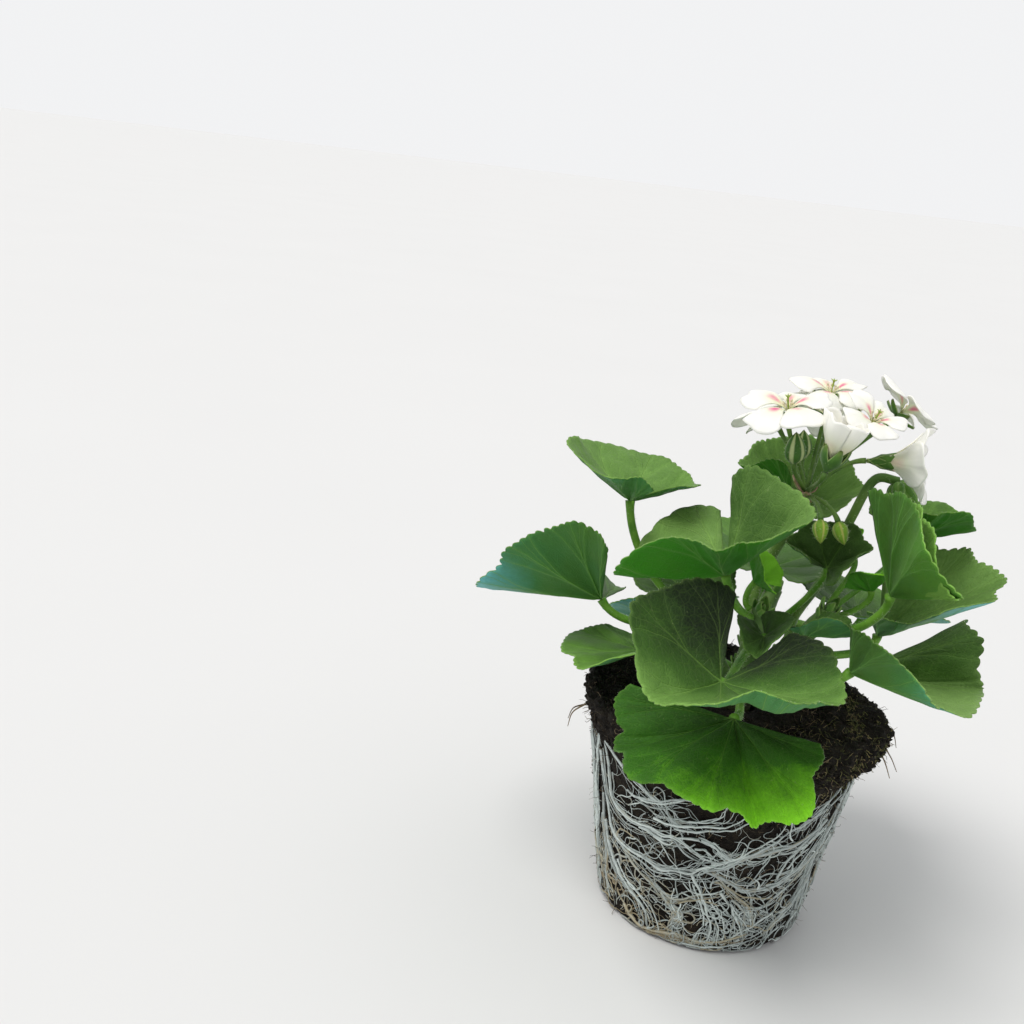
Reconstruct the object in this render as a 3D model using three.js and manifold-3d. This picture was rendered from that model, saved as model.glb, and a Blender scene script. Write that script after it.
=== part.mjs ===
// A zonal geranium (Pelargonium zonale type) knocked out of its pot: a flowering
// plant on the pot-shaped root ball that its roots hold together.
// Millimetres, +Z up. The origin is the centre of the root ball's flat base, and
// -Y is the side that the plant shows to a viewer.
import * as THREE from "three";
import { mergeVertices } from "three/addons/utils/BufferGeometryUtils.js";
import Module from "manifold-3d";

const wasm = await Module();
wasm.setup();

const SEAT_GAP = 0.35; // between pieces that touch
const FUSE_TOLERANCE = 0.04; // slivers that a join leaves are taken up to this size

// Driving dimensions of the root ball, which has the form of a 13 cm pot.
const BALL_BASE_RADIUS = 45.5;
const BALL_SHOULDER_RADIUS = 58.5;
const BALL_SHOULDER_HEIGHT = 80; // the roots reach up to here
const BALL_RIM_RADIUS = 64;
const BALL_RIM_HEIGHT = 97;
const SOIL_HEIGHT = 98.5;
const BALL_SIDES = 36;
const BASE_CHAMFER = 1.6;
const MOSS_BEARING = 12; // degrees from +X to the tuft that hangs over the rim
const MOSS_WIDTH = 34;
const MOSS_REACH = 7;

// Driving dimensions of the roots that wrap the ball.
const ROOT_LIFT = 0.5; // clear of the ball's corners
const ROOT_WIDTH = 2.2;
const ROOT_HEIGHT = 1.1;
const ROOT_RINGS = 6;
const ROOT_RING_FOOT = 7; // height of the lowest ring
const ROOT_RING_STEP = 12.6;
const ROOT_DIAGONALS = 9;
const NET_TOLERANCE = 0.14;
const DIAGONAL_LIFT = 0.4; // a diagonal lies this much further out than the rings

// Driving dimensions of the leaves and stalks.
const BLADE_THICKNESS = 0.8;
const VEIN_STEP = 50; // degrees between neighbouring main veins
const VEIN_END = 150; // the outermost main vein on either side of the midrib
const BLADE_SPAN = 166; // degrees from the midrib to the edge of the sinus
const BACK_SHORTENING = 0.26; // a blade's rays are this much shorter beside the sinus
const LOBE_DEPTH = 0.035; // these depths and heights are shares of a blade's radius
const TOOTH_DEPTH = 0.028;
const PLEAT_HEIGHT = 0.035;
const BLADE_RUFFLE = 0.03;
const BLADE_CURL = 6; // degrees that a blade's rays turn upward
const WAVES_PER_TURN = 3.1; // of the ruffle
const PETIOLE_RADIUS = 1.9;
const THIN_PETIOLE_RADIUS = 1.4;
const LARGE_BLADE = 30; // radius from which a blade has the stout petiole
const START_SLANT = 0.46; // how far a stalk's slanted foot reaches back, in radii
const PETIOLE_BOW = 0.36; // handles of a stalk's curve, as shares of its length
const PETIOLE_ARRIVAL = 0.32;
const PETIOLE_LEAN = 0.5; // how far a stalk's end leans towards the midrib
const TIP_LENGTH = 10; // of a shoot's tapered end
const STIPULE_LENGTH = 8;
const STIPULE_RADIUS = 2;
const STIPULE_SPREAD = 0.7; // sideways share of a stipule's direction
const STALK_ASIDE = 0.88; // a stalk leaves its shoot in these shares of sideways and along
const STALK_ALONG = 0.48;

// Driving dimensions of the flowers.
const PETAL_THICKNESS = 0.65;
const PETAL_CURL = 12; // degrees that a petal turns outward towards its end
const PETAL_SPREAD = 84; // degrees that one petal spans round the flower, at its end
const CLAW_SHARE = 0.4; // of that spread at the petal's foot
const RECEPTACLE_RADIUS = 2;
const CALYX_DROP = 2.82; // from the petals' meeting point down to an open flower's calyx
const CALYX_THICKNESS = 0.9;
const SEPAL_LENGTH = 9;
const PEDICEL_RADIUS = 0.95;

const material = (colour, roughness) =>
  new THREE.MeshStandardMaterial({ color: colour, roughness, metalness: 0 });
const SOIL = material(0x3a2a1e, 0.97);
const ROOT = material(0xc9c3b0, 0.75);
const LEAF = material(0x3f6b2c, 0.55);
const YOUNG_LEAF = material(0x6f9f35, 0.55);
const STEM = material(0x7f9d48, 0.5);
const UMBEL = material(0x64852f, 0.5);
const PETAL = material(0xf7f3ee, 0.6);

const radians = THREE.MathUtils.degToRad;
const vec = (x, y, z) => new THREE.Vector3(x, y, z);

// A unit vector from a bearing about +Z (0 is +X) and a rise above the level.
const heading = (bearing, rise) =>
  vec(
    Math.cos(radians(bearing)) * Math.cos(radians(rise)),
    Math.sin(radians(bearing)) * Math.cos(radians(rise)),
    Math.sin(radians(rise)),
  );

// A closed geometry as a manifold-3d solid, and back again.
function solidOf(geometry) {
  const bare = new THREE.BufferGeometry();
  bare.setAttribute("position", geometry.getAttribute("position").clone());
  if (geometry.index) bare.setIndex(geometry.index.clone());
  const merged = mergeVertices(bare, 1e-4);
  return new wasm.Manifold(
    new wasm.Mesh({
      numProp: 3,
      vertProperties: new Float32Array(merged.attributes.position.array),
      triVerts: new Uint32Array(merged.index.array),
    }),
  );
}

function geometryOf(solid) {
  const mesh = solid.getMesh();
  const geometry = new THREE.BufferGeometry();
  geometry.setAttribute("position", new THREE.BufferAttribute(new Float32Array(mesh.vertProperties), 3));
  geometry.setIndex(new THREE.BufferAttribute(new Uint32Array(mesh.triVerts), 1));
  geometry.computeVertexNormals();
  return geometry;
}

const fuse = (geometries, tolerance = FUSE_TOLERANCE) => {
  const joined = geometries.map(solidOf).reduce((a, b) => a.add(b));
  return geometryOf(joined.asOriginal().simplify(tolerance));
};

function piece(name, geometry, look) {
  const mesh = new THREE.Mesh(geometry, look);
  mesh.name = name;
  return mesh;
}

function indexed(points, index) {
  const geometry = new THREE.BufferGeometry();
  const numbers = points.flatMap((p) => [p.x, p.y, p.z]);
  geometry.setAttribute("position", new THREE.Float32BufferAttribute(numbers, 3));
  geometry.setIndex(index);
  return geometry;
}

// A round stalk along a curve.
function stalk(curve, radius, steps, sides = 6) {
  const section = new THREE.Shape();
  for (let i = 0; i < sides; i++) {
    const turn = (i / sides) * 2 * Math.PI;
    const corner = [radius * Math.cos(turn), radius * Math.sin(turn)];
    if (i === 0) section.moveTo(...corner);
    else section.lineTo(...corner);
  }
  section.closePath();
  return new THREE.ExtrudeGeometry(section, { steps, extrudePath: curve, bevelEnabled: false });
}

// Seeded draws, so that every run places the same repeats.
function drawsFrom(seed) {
  let state = seed >>> 0;
  return () => {
    state = (Math.imul(state, 1664525) + 1013904223) >>> 0;
    return state / 4294967296;
  };
}

// A thin fan-shaped sheet: rays spread from one point, in rings of more and more
// points, and both faces are split into triangles alike.
function fanSheet(pointAt, rings, thickness) {
  const EPS = 1e-3;
  const normalAt = (across, out) => {
    const o = Math.max(out, 0.05);
    const a = pointAt(across + EPS, o).sub(pointAt(across - EPS, o));
    const b = pointAt(across, o + EPS).sub(pointAt(across, o - EPS));
    return b.cross(a).normalize();
  };
  const top = [];
  const base = [];
  const hub = pointAt(0.5, 0);
  const up = vec(0, 0, 0);
  for (let i = 0; i <= 8; i++) up.add(normalAt(i / 8, 0.1));
  up.normalize();
  top.push(hub.clone().addScaledVector(up, thickness / 2));
  base.push(hub.clone().addScaledVector(up, -thickness / 2));
  const starts = [];
  for (const [out, count] of rings) {
    starts.push(top.length);
    for (let i = 0; i <= count; i++) {
      const p = pointAt(i / count, out);
      const n = normalAt(i / count, out);
      top.push(p.clone().addScaledVector(n, thickness / 2));
      base.push(p.clone().addScaledVector(n, -thickness / 2));
    }
  }
  const faces = [];
  const first = rings[0][1];
  for (let i = 0; i < first; i++) faces.push([0, starts[0] + i, starts[0] + i + 1]);
  for (let r = 1; r < rings.length; r++) {
    const [inner, outer] = [starts[r - 1], starts[r]];
    const [few, many] = [rings[r - 1][1], rings[r][1]];
    let j = 0;
    for (let i = 0; i < many; i++) {
      const wanted = Math.round(((i + 0.5) / many) * few);
      while (j < wanted) {
        faces.push([inner + j, outer + i, inner + j + 1]);
        j++;
      }
      faces.push([inner + j, outer + i, outer + i + 1]);
    }
    while (j < few) {
      faces.push([inner + j, outer + many, inner + j + 1]);
      j++;
    }
  }
  const n = top.length;
  const index = [];
  for (const [a, b, c] of faces) index.push(a, b, c, n + a, n + c, n + b);
  const last = rings.length - 1;
  const border = [0, ...starts];
  for (let i = 1; i <= rings[last][1]; i++) border.push(starts[last] + i);
  for (let r = last - 1; r >= 0; r--) border.push(starts[r] + rings[r][1]);
  border.forEach((a, i) => {
    const b = border[(i + 1) % border.length];
    index.push(b, a, n + a, b, n + a, n + b);
  });
  return indexed([...top, ...base], index);
}

// The rays of an open leaf's main veins: a fan about its midrib, cupped so that the
// veins rise off its plane by up to cup degrees at the sides.
function openRays({ bearing, pitch, roll = 0, cup = 14 }) {
  const midrib = heading(bearing, pitch);
  const level = heading(bearing + 90, 0);
  const left = level.applyAxisAngle(midrib, radians(roll));
  const upper = midrib.clone().cross(left);
  const rays = [];
  for (let angle = -VEIN_END; angle <= VEIN_END; angle += VEIN_STEP) {
    const turn = radians(angle);
    const rise = radians(cup) * (0.35 + 0.65 * Math.abs(Math.sin(turn)));
    rays.push(
      vec(0, 0, 0)
        .addScaledVector(midrib, Math.cos(turn) * Math.cos(rise))
        .addScaledVector(left, Math.sin(turn) * Math.cos(rise))
        .addScaledVector(upper, Math.sin(rise)),
    );
  }
  return rays;
}

// The direction of a blade's ray at an angle from its midrib: a smooth run through
// the directions of its main veins.
function rayAt(rays, angle) {
  const place = (angle + VEIN_END) / VEIN_STEP;
  const i = Math.min(Math.max(Math.floor(place), 0), rays.length - 2);
  const [b, c] = [rays[i], rays[i + 1]];
  const a = rays[i - 1] ?? b.clone().multiplyScalar(2).sub(c);
  const d = rays[i + 2] ?? c.clone().multiplyScalar(2).sub(b);
  const s = place - i;
  return vec(0, 0, 0)
    .addScaledVector(a, (-s + 2 * s ** 2 - s ** 3) / 2)
    .addScaledVector(b, (2 - 5 * s ** 2 + 3 * s ** 3) / 2)
    .addScaledVector(c, (s + 4 * s ** 2 - 3 * s ** 3) / 2)
    .addScaledVector(d, (-(s ** 2) + s ** 3) / 2)
    .normalize();
}

function upperSideAt(rays, angle) {
  const before = rayAt(rays, angle - 1);
  const after = rayAt(rays, angle + 1);
  return before.cross(after).normalize();
}

// A value that is given for each main vein, at an angle from the midrib.
function alongVeins(values, angle) {
  const place = THREE.MathUtils.clamp((angle + VEIN_END) / VEIN_STEP, 0, values.length - 1);
  const i = Math.min(Math.floor(place), values.length - 2);
  return THREE.MathUtils.lerp(values[i], values[i + 1], THREE.MathUtils.smoothstep(place - i, 0, 1));
}

// One point of a blade, measured from the end of its petiole. The blade has a
// shallow lobe and a raised pleat to each main vein, curls along its rays and waves
// at its rim.
function bladePoint(leaf, angle, out, tooth) {
  const ray = rayAt(leaf.rays, angle);
  const upper = upperSideAt(leaf.rays, angle);
  const beat = Math.cos((2 * Math.PI * angle) / VEIN_STEP);
  const outline = 1 - BACK_SHORTENING * (Math.abs(angle) / 180) ** 2.4;
  const toothed = out > 0.9 ? 1 + TOOTH_DEPTH * tooth : 1;
  const length = leaf.reach ? alongVeins(leaf.reach, angle) : 1;
  const reach = leaf.radius * length * outline * (1 + LOBE_DEPTH * beat) * toothed;
  const curl = radians(leaf.curl ?? BLADE_CURL);
  const turned = curl * out;
  const pleat = PLEAT_HEIGHT * out * (0.5 - 0.5 * beat);
  const wave = (leaf.ruffle ?? BLADE_RUFFLE) * out ** 3 * Math.sin(radians(angle * WAVES_PER_TURN));
  const lean = leaf.radius * (pleat + wave);
  return vec(0, 0, 0)
    .addScaledVector(ray, (reach / curl) * Math.sin(turned) - lean * Math.sin(turned))
    .addScaledVector(upper, (reach / curl) * (1 - Math.cos(turned)) + lean * Math.cos(turned));
}

function bladeGeometry(leaf) {
  const rim = leaf.radius > 40 ? 40 : leaf.radius > 30 ? 32 : leaf.radius > 17 ? 28 : 20;
  const rings = [
    [0.32, rim / 4],
    [0.7, rim / 2],
    [1, rim],
  ];
  const pointAt = (across, out) => {
    const tooth = Math.round(across * rim) % 2 ? 1 : -1;
    return bladePoint(leaf, (2 * across - 1) * (leaf.span ?? BLADE_SPAN), out, tooth);
  };
  return fanSheet(pointAt, rings, BLADE_THICKNESS);
}

// The shoots, as lines that rise from the stock. Leaves and flower stalks start from
// them at a share of the way up.
const CROWN = vec(2, -2, 101);
const STOCK_RADIUS = 8.5;
const BORE_RADIUS = 9.2;
const STOCK_FOOT = 78;
const STOCK_TOP = 104;
const SHOOTS = {
  centre: { path: [CROWN, vec(4, -8, 122), vec(7, -12, 145)], radius: 4.4 },
  right: { path: [CROWN, vec(18, -6, 124), vec(34, -13, 151)], radius: 4.1 },
  left: { path: [CROWN, vec(-12, 3, 119), vec(-22, 7, 138)], radius: 4 },
  rear: { path: [CROWN, vec(5, 14, 122), vec(11, 25, 144)], radius: 4.1 },
};
for (const shoot of Object.values(SHOOTS)) shoot.curve = new THREE.CatmullRomCurve3(shoot.path);

// A stalk's start: just off the shoot's skin, on the side that it leaves by.
function startOn(shoot, share, towards, radius) {
  const centre = shoot.curve.getPointAt(share);
  const axis = shoot.curve.getTangentAt(share);
  const out = towards.clone().sub(centre);
  const aside = out.addScaledVector(axis, -out.dot(axis)).normalize();
  const leave = aside.clone().multiplyScalar(STALK_ASIDE).addScaledVector(axis, STALK_ALONG).normalize();
  const off = shoot.radius + SEAT_GAP + radius * START_SLANT;
  return { at: centre.addScaledVector(aside, off), leave };
}

// A leaf stalk from its shoot to the hub of its blade, where it arrives from below,
// measured from the hub.
function petioleCurve(leaf, radius) {
  const hub = vec(...leaf.hub);
  const shoot = SHOOTS[leaf.shoot];
  const { at, leave } = startOn(shoot, leaf.share, hub, radius);
  const arrive = vec(0, 0, 0);
  for (let angle = -100; angle <= 100; angle += VEIN_STEP) arrive.add(upperSideAt(leaf.rays, angle));
  arrive.normalize().addScaledVector(rayAt(leaf.rays, 0), PETIOLE_LEAN).normalize();
  const start = at.sub(hub);
  const length = start.length();
  return new THREE.CubicBezierCurve3(
    start,
    start.clone().addScaledVector(leave, length * PETIOLE_BOW),
    arrive.multiplyScalar(-length * PETIOLE_ARRIVAL),
    vec(0, 0, 0),
  );
}

function leafPiece(leaf) {
  const radius = leaf.radius > LARGE_BLADE ? PETIOLE_RADIUS : THIN_PETIOLE_RADIUS;
  const geometry = fuse([bladeGeometry(leaf), stalk(petioleCurve(leaf, radius), radius, 7, 5)]);
  const made = piece(leaf.name, geometry, leaf.young ? YOUNG_LEAF : LEAF);
  made.position.set(...leaf.hub);
  return made;
}

// The leaves. hub is the point where stalk and blade meet, and shoot and share say
// where the stalk starts. veins lists the bearing and rise of the seven main veins,
// from the right-hand base round the tip to the left-hand base, and reach how long they
// are for their leaf; open describes a leaf that is a plain fan instead.
const LEAVES = [
  { name: "leaf_far_left", hub: [-62, -3, 134], radius: 54.5,
    shoot: "left", share: 0.72,
    veins: [[90, -12], [120, 0], [150, -15], [-150, 5], [-135, 28], [-115, 50], [-90, 45]] },
  { name: "leaf_high_left", hub: [-56, 0, 180], radius: 37,
    shoot: "left", share: 0.98, stipules: true, ruffle: 0.06,
    veins: [[-25, 28], [35, 10], [85, 20], [150, 28], [-160, 32], [-100, 28], [-75, 22]],
    reach: [1, 0.85, 1, 1, 1, 1, 1] },
  { name: "leaf_upper_front", hub: [-10, -33, 165], radius: 47,
    shoot: "centre", share: 0.95, stipules: true,
    veins: [[115, 20], [180, -15], [-130, 30], [-95, 25], [-68, 32], [-20, 47], [75, 70]],
    reach: [1.1, 1, 0.75, 1, 1.05, 1.05, 1.1] },
  { name: "leaf_front", hub: [-4, -80, 139], radius: 46,
    shoot: "centre", share: 0.62, stipules: true, curl: 9,
    veins: [[108, 45], [180, 32], [-126, 0], [-88, 8], [-62, 8], [-28, 8], [35, 18]],
    reach: [1, 1, 0.85, 0.95, 1.05, 1.05, 1] },
  { name: "leaf_low_front", hub: [3, -68, 120], radius: 47,
    shoot: "centre", share: 0.34, stipules: true,
    veins: [[175, -4], [-173, -28], [-138, -23], [-96, -25], [-65, -40], [-48, -16], [-27, -2]],
    reach: [1.15, 1.05, 1, 0.92, 1, 1.1, 0.95] },
  { name: "leaf_low_left", hub: [-40, -20, 121], radius: 33,
    shoot: "left", share: 0.38, stipules: true,
    veins: [[70, -20], [120, -10], [145, -10], [-155, -6], [-122, -4], [-86, 18], [-50, 14]],
    reach: [1, 1, 1.1, 1, 1.1, 1, 1] },
  { name: "leaf_upper_rear", hub: [15, 39, 178], radius: 34,
    shoot: "rear", share: 0.96, stipules: true,
    veins: [[-60, 12], [0, 28], [38, 45], [95, 60], [150, 45], [-165, 30], [-130, 48]],
    reach: [0.93, 0.93, 0.93, 1, 1.04, 1.04, 1.04] },
  { name: "leaf_under_buds", hub: [30, -5, 167], radius: 21,
    shoot: "rear", share: 0.55,
    veins: [[-82, -4], [-55, 26], [-20, 36], [0, 70], [-178, 65], [-175, 24], [-130, 20]] },
  { name: "leaf_upright_right", hub: [54, -31, 168], radius: 50,
    shoot: "right", share: 0.92,
    veins: [[-172, 68], [-113, 66], [-87, 38], [-62, 18], [-67, 52], [0, 85], [110, 70]],
    reach: [1, 1, 1, 0.87, 0.83, 0.8, 0.92] },
  { name: "leaf_high_right", hub: [64, 32, 176], radius: 26,
    shoot: "right", share: 0.96, ruffle: 0.06,
    veins: [[-105, 50], [-70, 35], [-30, 36], [5, 13], [63, 25], [115, 20], [147, 15]],
    reach: [1, 1, 1.08, 1.03, 1, 1, 1] },
  { name: "leaf_far_right", hub: [57, 11, 136], radius: 53,
    shoot: "right", share: 0.5,
    veins: [[-100, 32], [-78, 24], [-20, 32], [5, 35], [37, 41], [65, 50], [82, 32]],
    reach: [0.75, 0.85, 0.95, 1.05, 1, 0.95, 1] },
  { name: "leaf_low_right", hub: [44, -43, 138], radius: 51,
    shoot: "right", share: 0.3, stipules: true,
    veins: [[-100, 44], [-84, 30], [-63, 12], [-44, 4], [4, 0], [5, 28], [26, 20]],
    reach: [0.9, 0.95, 1, 1, 0.95, 1, 1.15] },
  { name: "leaf_inner_front", hub: [9, -46, 147], radius: 14,
    shoot: "centre", share: 0.7, ruffle: 0.1,
    veins: [[125, 15], [-175, 25], [-120, -3], [-90, -15], [-45, 30], [23, 45], [90, 25]] },
  { name: "leaf_inner_right", hub: [25, -35, 147], radius: 21,
    shoot: "right", share: 0.42,
    veins: [[-150, 20], [-105, 26], [-60, 38], [-22, 15], [20, 0], [35, 15], [63, 15]],
    reach: [0.5, 0.7, 1, 1, 1, 1, 1] },
  { name: "leaf_rear_left", hub: [-30, 40, 131], radius: 28,
    shoot: "left", share: 0.86,
    open: { bearing: 135, pitch: 6, roll: -8 } },
  { name: "leaf_rear", hub: [8, 62, 142], radius: 41,
    shoot: "rear", share: 0.42,
    open: { bearing: 88, pitch: 2 } },
  { name: "leaf_rear_right", hub: [54, 57, 127], radius: 38,
    shoot: "rear", share: 0.74,
    open: { bearing: 50, pitch: -10 } },
  { name: "leaf_low_rear", hub: [-32, 56, 108], radius: 36,
    shoot: "rear", share: 0.24,
    open: { bearing: 122, pitch: -30 } },
  { name: "young_leaf_right", hub: [49, -7, 161], radius: 12,
    shoot: "right", share: 0.93, young: true,
    open: { bearing: -40, pitch: 40, cup: 40 }, ruffle: 0.12, span: 140 },
  { name: "young_leaf_right_tip", hub: [40, 13, 170], radius: 11,
    shoot: "right", share: 0.99, young: true,
    open: { bearing: 10, pitch: 62, cup: 40 }, ruffle: 0.12, span: 130 },
  { name: "young_leaf_centre", hub: [2, -14, 158], radius: 14,
    shoot: "centre", share: 0.99, young: true,
    open: { bearing: 170, pitch: 56, cup: 40 }, ruffle: 0.12, span: 130 },
  { name: "young_leaf_left", hub: [-26, 0, 150], radius: 12,
    shoot: "left", share: 0.99, young: true,
    open: { bearing: -70, pitch: 50, cup: 40 }, ruffle: 0.12, span: 130 },
];
for (const leaf of LEAVES) {
  leaf.rays = leaf.open ? openRays(leaf.open) : leaf.veins.map(([bearing, rise]) => heading(bearing, rise));
}

// The ball: a tapered side, a ragged rim with a mossy tuft, a humped top and a hole
// for the stock.
function ballSide(height) {
  const share = THREE.MathUtils.clamp(height / BALL_SHOULDER_HEIGHT, 0, 1);
  return THREE.MathUtils.lerp(BALL_BASE_RADIUS, BALL_SHOULDER_RADIUS, share);
}

function rootBall() {
  const draw = drawsFrom(11);
  const roughness = 1.4;
  const levels = [
    [BALL_BASE_RADIUS - BASE_CHAMFER, 0, 0],
    [ballSide(BASE_CHAMFER), BASE_CHAMFER, 0],
    [ballSide(28), 28, 0],
    [ballSide(54), 54, 0],
    [BALL_SHOULDER_RADIUS, BALL_SHOULDER_HEIGHT, 0],
    [BALL_SHOULDER_RADIUS + 1.6, 86, 0.6],
    [BALL_RIM_RADIUS - 2, 92, 1],
    [BALL_RIM_RADIUS, BALL_RIM_HEIGHT, 1],
    [BALL_RIM_RADIUS - 3, BALL_RIM_HEIGHT + 4, 1],
    [BALL_RIM_RADIUS - 12, SOIL_HEIGHT + 1, 0.8],
    [BALL_RIM_RADIUS - 30, SOIL_HEIGHT, 0.8],
    [BALL_RIM_RADIUS - 46, SOIL_HEIGHT, 0],
  ];
  const points = [];
  for (const [radius, height, rough] of levels) {
    for (let i = 0; i < BALL_SIDES; i++) {
      const bearing = (i * 360) / BALL_SIDES;
      const away = Math.abs(((bearing - MOSS_BEARING + 540) % 360) - 180);
      const mossy = radius > BALL_SHOULDER_RADIUS + 2;
      const tuft = mossy ? MOSS_REACH * Math.exp(-((away / MOSS_WIDTH) ** 2)) : 0;
      const out = radius + rough * (tuft + roughness * (2 * draw() - 1));
      const up = height + rough * roughness * (2 * draw() - 1);
      points.push(vec(out * Math.cos(radians(bearing)), out * Math.sin(radians(bearing)), up));
    }
  }
  const index = [];
  for (let level = 0; level + 1 < levels.length; level++) {
    for (let i = 0; i < BALL_SIDES; i++) {
      const a = level * BALL_SIDES + i;
      const b = level * BALL_SIDES + ((i + 1) % BALL_SIDES);
      index.push(a, b, b + BALL_SIDES, a, b + BALL_SIDES, a + BALL_SIDES);
    }
  }
  const last = (levels.length - 1) * BALL_SIDES;
  const [foot, top] = [points.length, points.length + 1];
  points.push(vec(0, 0, 0), vec(0, 0, SOIL_HEIGHT));
  for (let i = 0; i < BALL_SIDES; i++) {
    const next = (i + 1) % BALL_SIDES;
    index.push(foot, next, i, top, last + i, last + next);
  }
  const depth = STOCK_TOP + 10 - (STOCK_FOOT - SEAT_GAP);
  const bore = new THREE.CylinderGeometry(BORE_RADIUS, BORE_RADIUS, depth, 16);
  bore.rotateX(Math.PI / 2).translate(CROWN.x, CROWN.y, STOCK_FOOT - SEAT_GAP + depth / 2);
  return geometryOf(solidOf(indexed(points, index)).subtract(solidOf(bore)));
}

// A flattened root that lies on the ball's side: route gives the bearing and height of
// its points. Its section is a low triangle.
const SIDE_SLOPE = Math.atan((BALL_SHOULDER_RADIUS - BALL_BASE_RADIUS) / BALL_SHOULDER_HEIGHT);
function rootStrand(route, width, lift, closed) {
  const at = ([bearing, level]) => {
    const outward = heading(bearing, 0);
    const place = outward.clone().multiplyScalar(ballSide(level) + lift).setZ(level);
    const away = outward.multiplyScalar(Math.cos(SIDE_SLOPE)).setZ(-Math.sin(SIDE_SLOPE));
    return { place, away };
  };
  const spots = route.map(at);
  const count = spots.length;
  const points = [];
  spots.forEach(({ place, away }, i) => {
    const before = spots[closed ? (i + count - 1) % count : Math.max(i - 1, 0)].place;
    const after = spots[closed ? (i + 1) % count : Math.min(i + 1, count - 1)].place;
    const along = after.clone().sub(before).normalize();
    const aside = away.clone().cross(along).normalize();
    points.push(
      place.clone().addScaledVector(aside, -width / 2),
      place.clone().addScaledVector(aside, width / 2),
      place.clone().addScaledVector(away, ROOT_HEIGHT),
    );
  });
  const index = [];
  for (let i = 0; i < (closed ? count : count - 1); i++) {
    const [a, b] = [3 * i, 3 * ((i + 1) % count)];
    for (let k = 0; k < 3; k++) {
      const next = (k + 1) % 3;
      index.push(a + k, b + next, b + k, a + k, a + next, b + next);
    }
  }
  if (!closed) index.push(0, 2, 1, 3 * count - 3, 3 * count - 2, 3 * count - 1);
  return indexed(points, index);
}

function rootNet() {
  const draw = drawsFrom(29);
  const strands = [];
  const rings = 36;
  for (let k = 0; k < ROOT_RINGS; k++) {
    const level = ROOT_RING_FOOT + k * ROOT_RING_STEP;
    const [beats, start] = [2 + Math.floor(draw() * 3), draw() * 360];
    const route = [];
    for (let i = 0; i < rings; i++) {
      const bearing = (i * 360) / rings;
      const sag = 2.6 * Math.sin(radians(beats * bearing + start)) + 1.6 * (2 * draw() - 1);
      route.push([bearing, level + sag]);
    }
    strands.push(rootStrand(route, ROOT_WIDTH * (0.8 + 0.5 * draw()), ROOT_LIFT, true));
  }
  for (let k = 0; k < ROOT_DIAGONALS; k++) {
    const from = ((k + 0.6 * draw()) * 360) / ROOT_DIAGONALS;
    const sweep = (k % 2 ? 1 : -1) * (35 + 50 * draw());
    const top = 68 + 10 * draw();
    const steps = 8;
    const route = [];
    for (let i = 0; i <= steps; i++) {
      const share = i / steps;
      const bow = 3 * Math.sin(Math.PI * share);
      const waver = i && i < steps ? 1.5 * (2 * draw() - 1) : 0;
      route.push([from + sweep * share, top + (3.5 - top) * share + waver - bow]);
    }
    const width = ROOT_WIDTH * (0.6 + 0.5 * draw());
    strands.push(rootStrand(route, width, ROOT_LIFT + DIAGONAL_LIFT, false));
  }
  return fuse(strands, NET_TOLERANCE);
}

// A bud: a five-ribbed spindle along a direction from its base.
function budGeometry(base, direction, length, radius) {
  const ribs = 5;
  const profile = [
    [0.28, 0.06],
    [0.86, 0.22],
    [1, 0.45],
    [0.62, 0.78],
  ];
  const points = [vec(0, 0, 0)];
  for (const [wide, along] of profile) {
    for (let i = 0; i < 2 * ribs; i++) {
      const turn = (i * Math.PI) / ribs;
      const r = radius * wide * (i % 2 ? 0.84 : 1);
      points.push(vec(r * Math.cos(turn), r * Math.sin(turn), length * along));
    }
  }
  points.push(vec(0, 0, length));
  const index = [];
  const around = 2 * ribs;
  const end = points.length - 1;
  const last = 1 + (profile.length - 1) * around;
  for (let i = 0; i < around; i++) {
    const next = (i + 1) % around;
    index.push(0, 1 + next, 1 + i, end, last + i, last + next);
    for (let level = 0; level + 1 < profile.length; level++) {
      const a = 1 + level * around + i;
      const b = 1 + level * around + next;
      index.push(a, b, b + around, a, b + around, a + around);
    }
  }
  const geometry = indexed(points, index);
  const turn = new THREE.Quaternion().setFromUnitVectors(vec(0, 0, 1), direction);
  return geometry.applyQuaternion(turn).translate(base.x, base.y, base.z);
}

// A pointed cone from its foot along a direction.
function point(foot, direction, radius, length, sides) {
  const cone = new THREE.ConeGeometry(radius, length, sides).translate(0, length / 2, 0);
  const turn = new THREE.Quaternion().setFromUnitVectors(vec(0, 1, 0), direction);
  return cone.applyQuaternion(turn).translate(foot.x, foot.y, foot.z);
}

// The pair of stipules beside a leaf's stalk: short pointed scales on the shoot.
function stipules({ shoot, share, hub }) {
  const { curve, radius } = SHOOTS[shoot];
  const centre = curve.getPointAt(share);
  const axis = curve.getTangentAt(share);
  const aside = vec(...hub).sub(centre).cross(axis).normalize();
  return [-1, 1].map((side) => {
    const across = aside.clone().multiplyScalar(side);
    const direction = axis.clone().addScaledVector(across, STIPULE_SPREAD).normalize();
    const foot = centre.clone().addScaledVector(across, radius - STIPULE_RADIUS * 0.6);
    return point(foot, direction, STIPULE_RADIUS, STIPULE_LENGTH, 4);
  });
}

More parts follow.
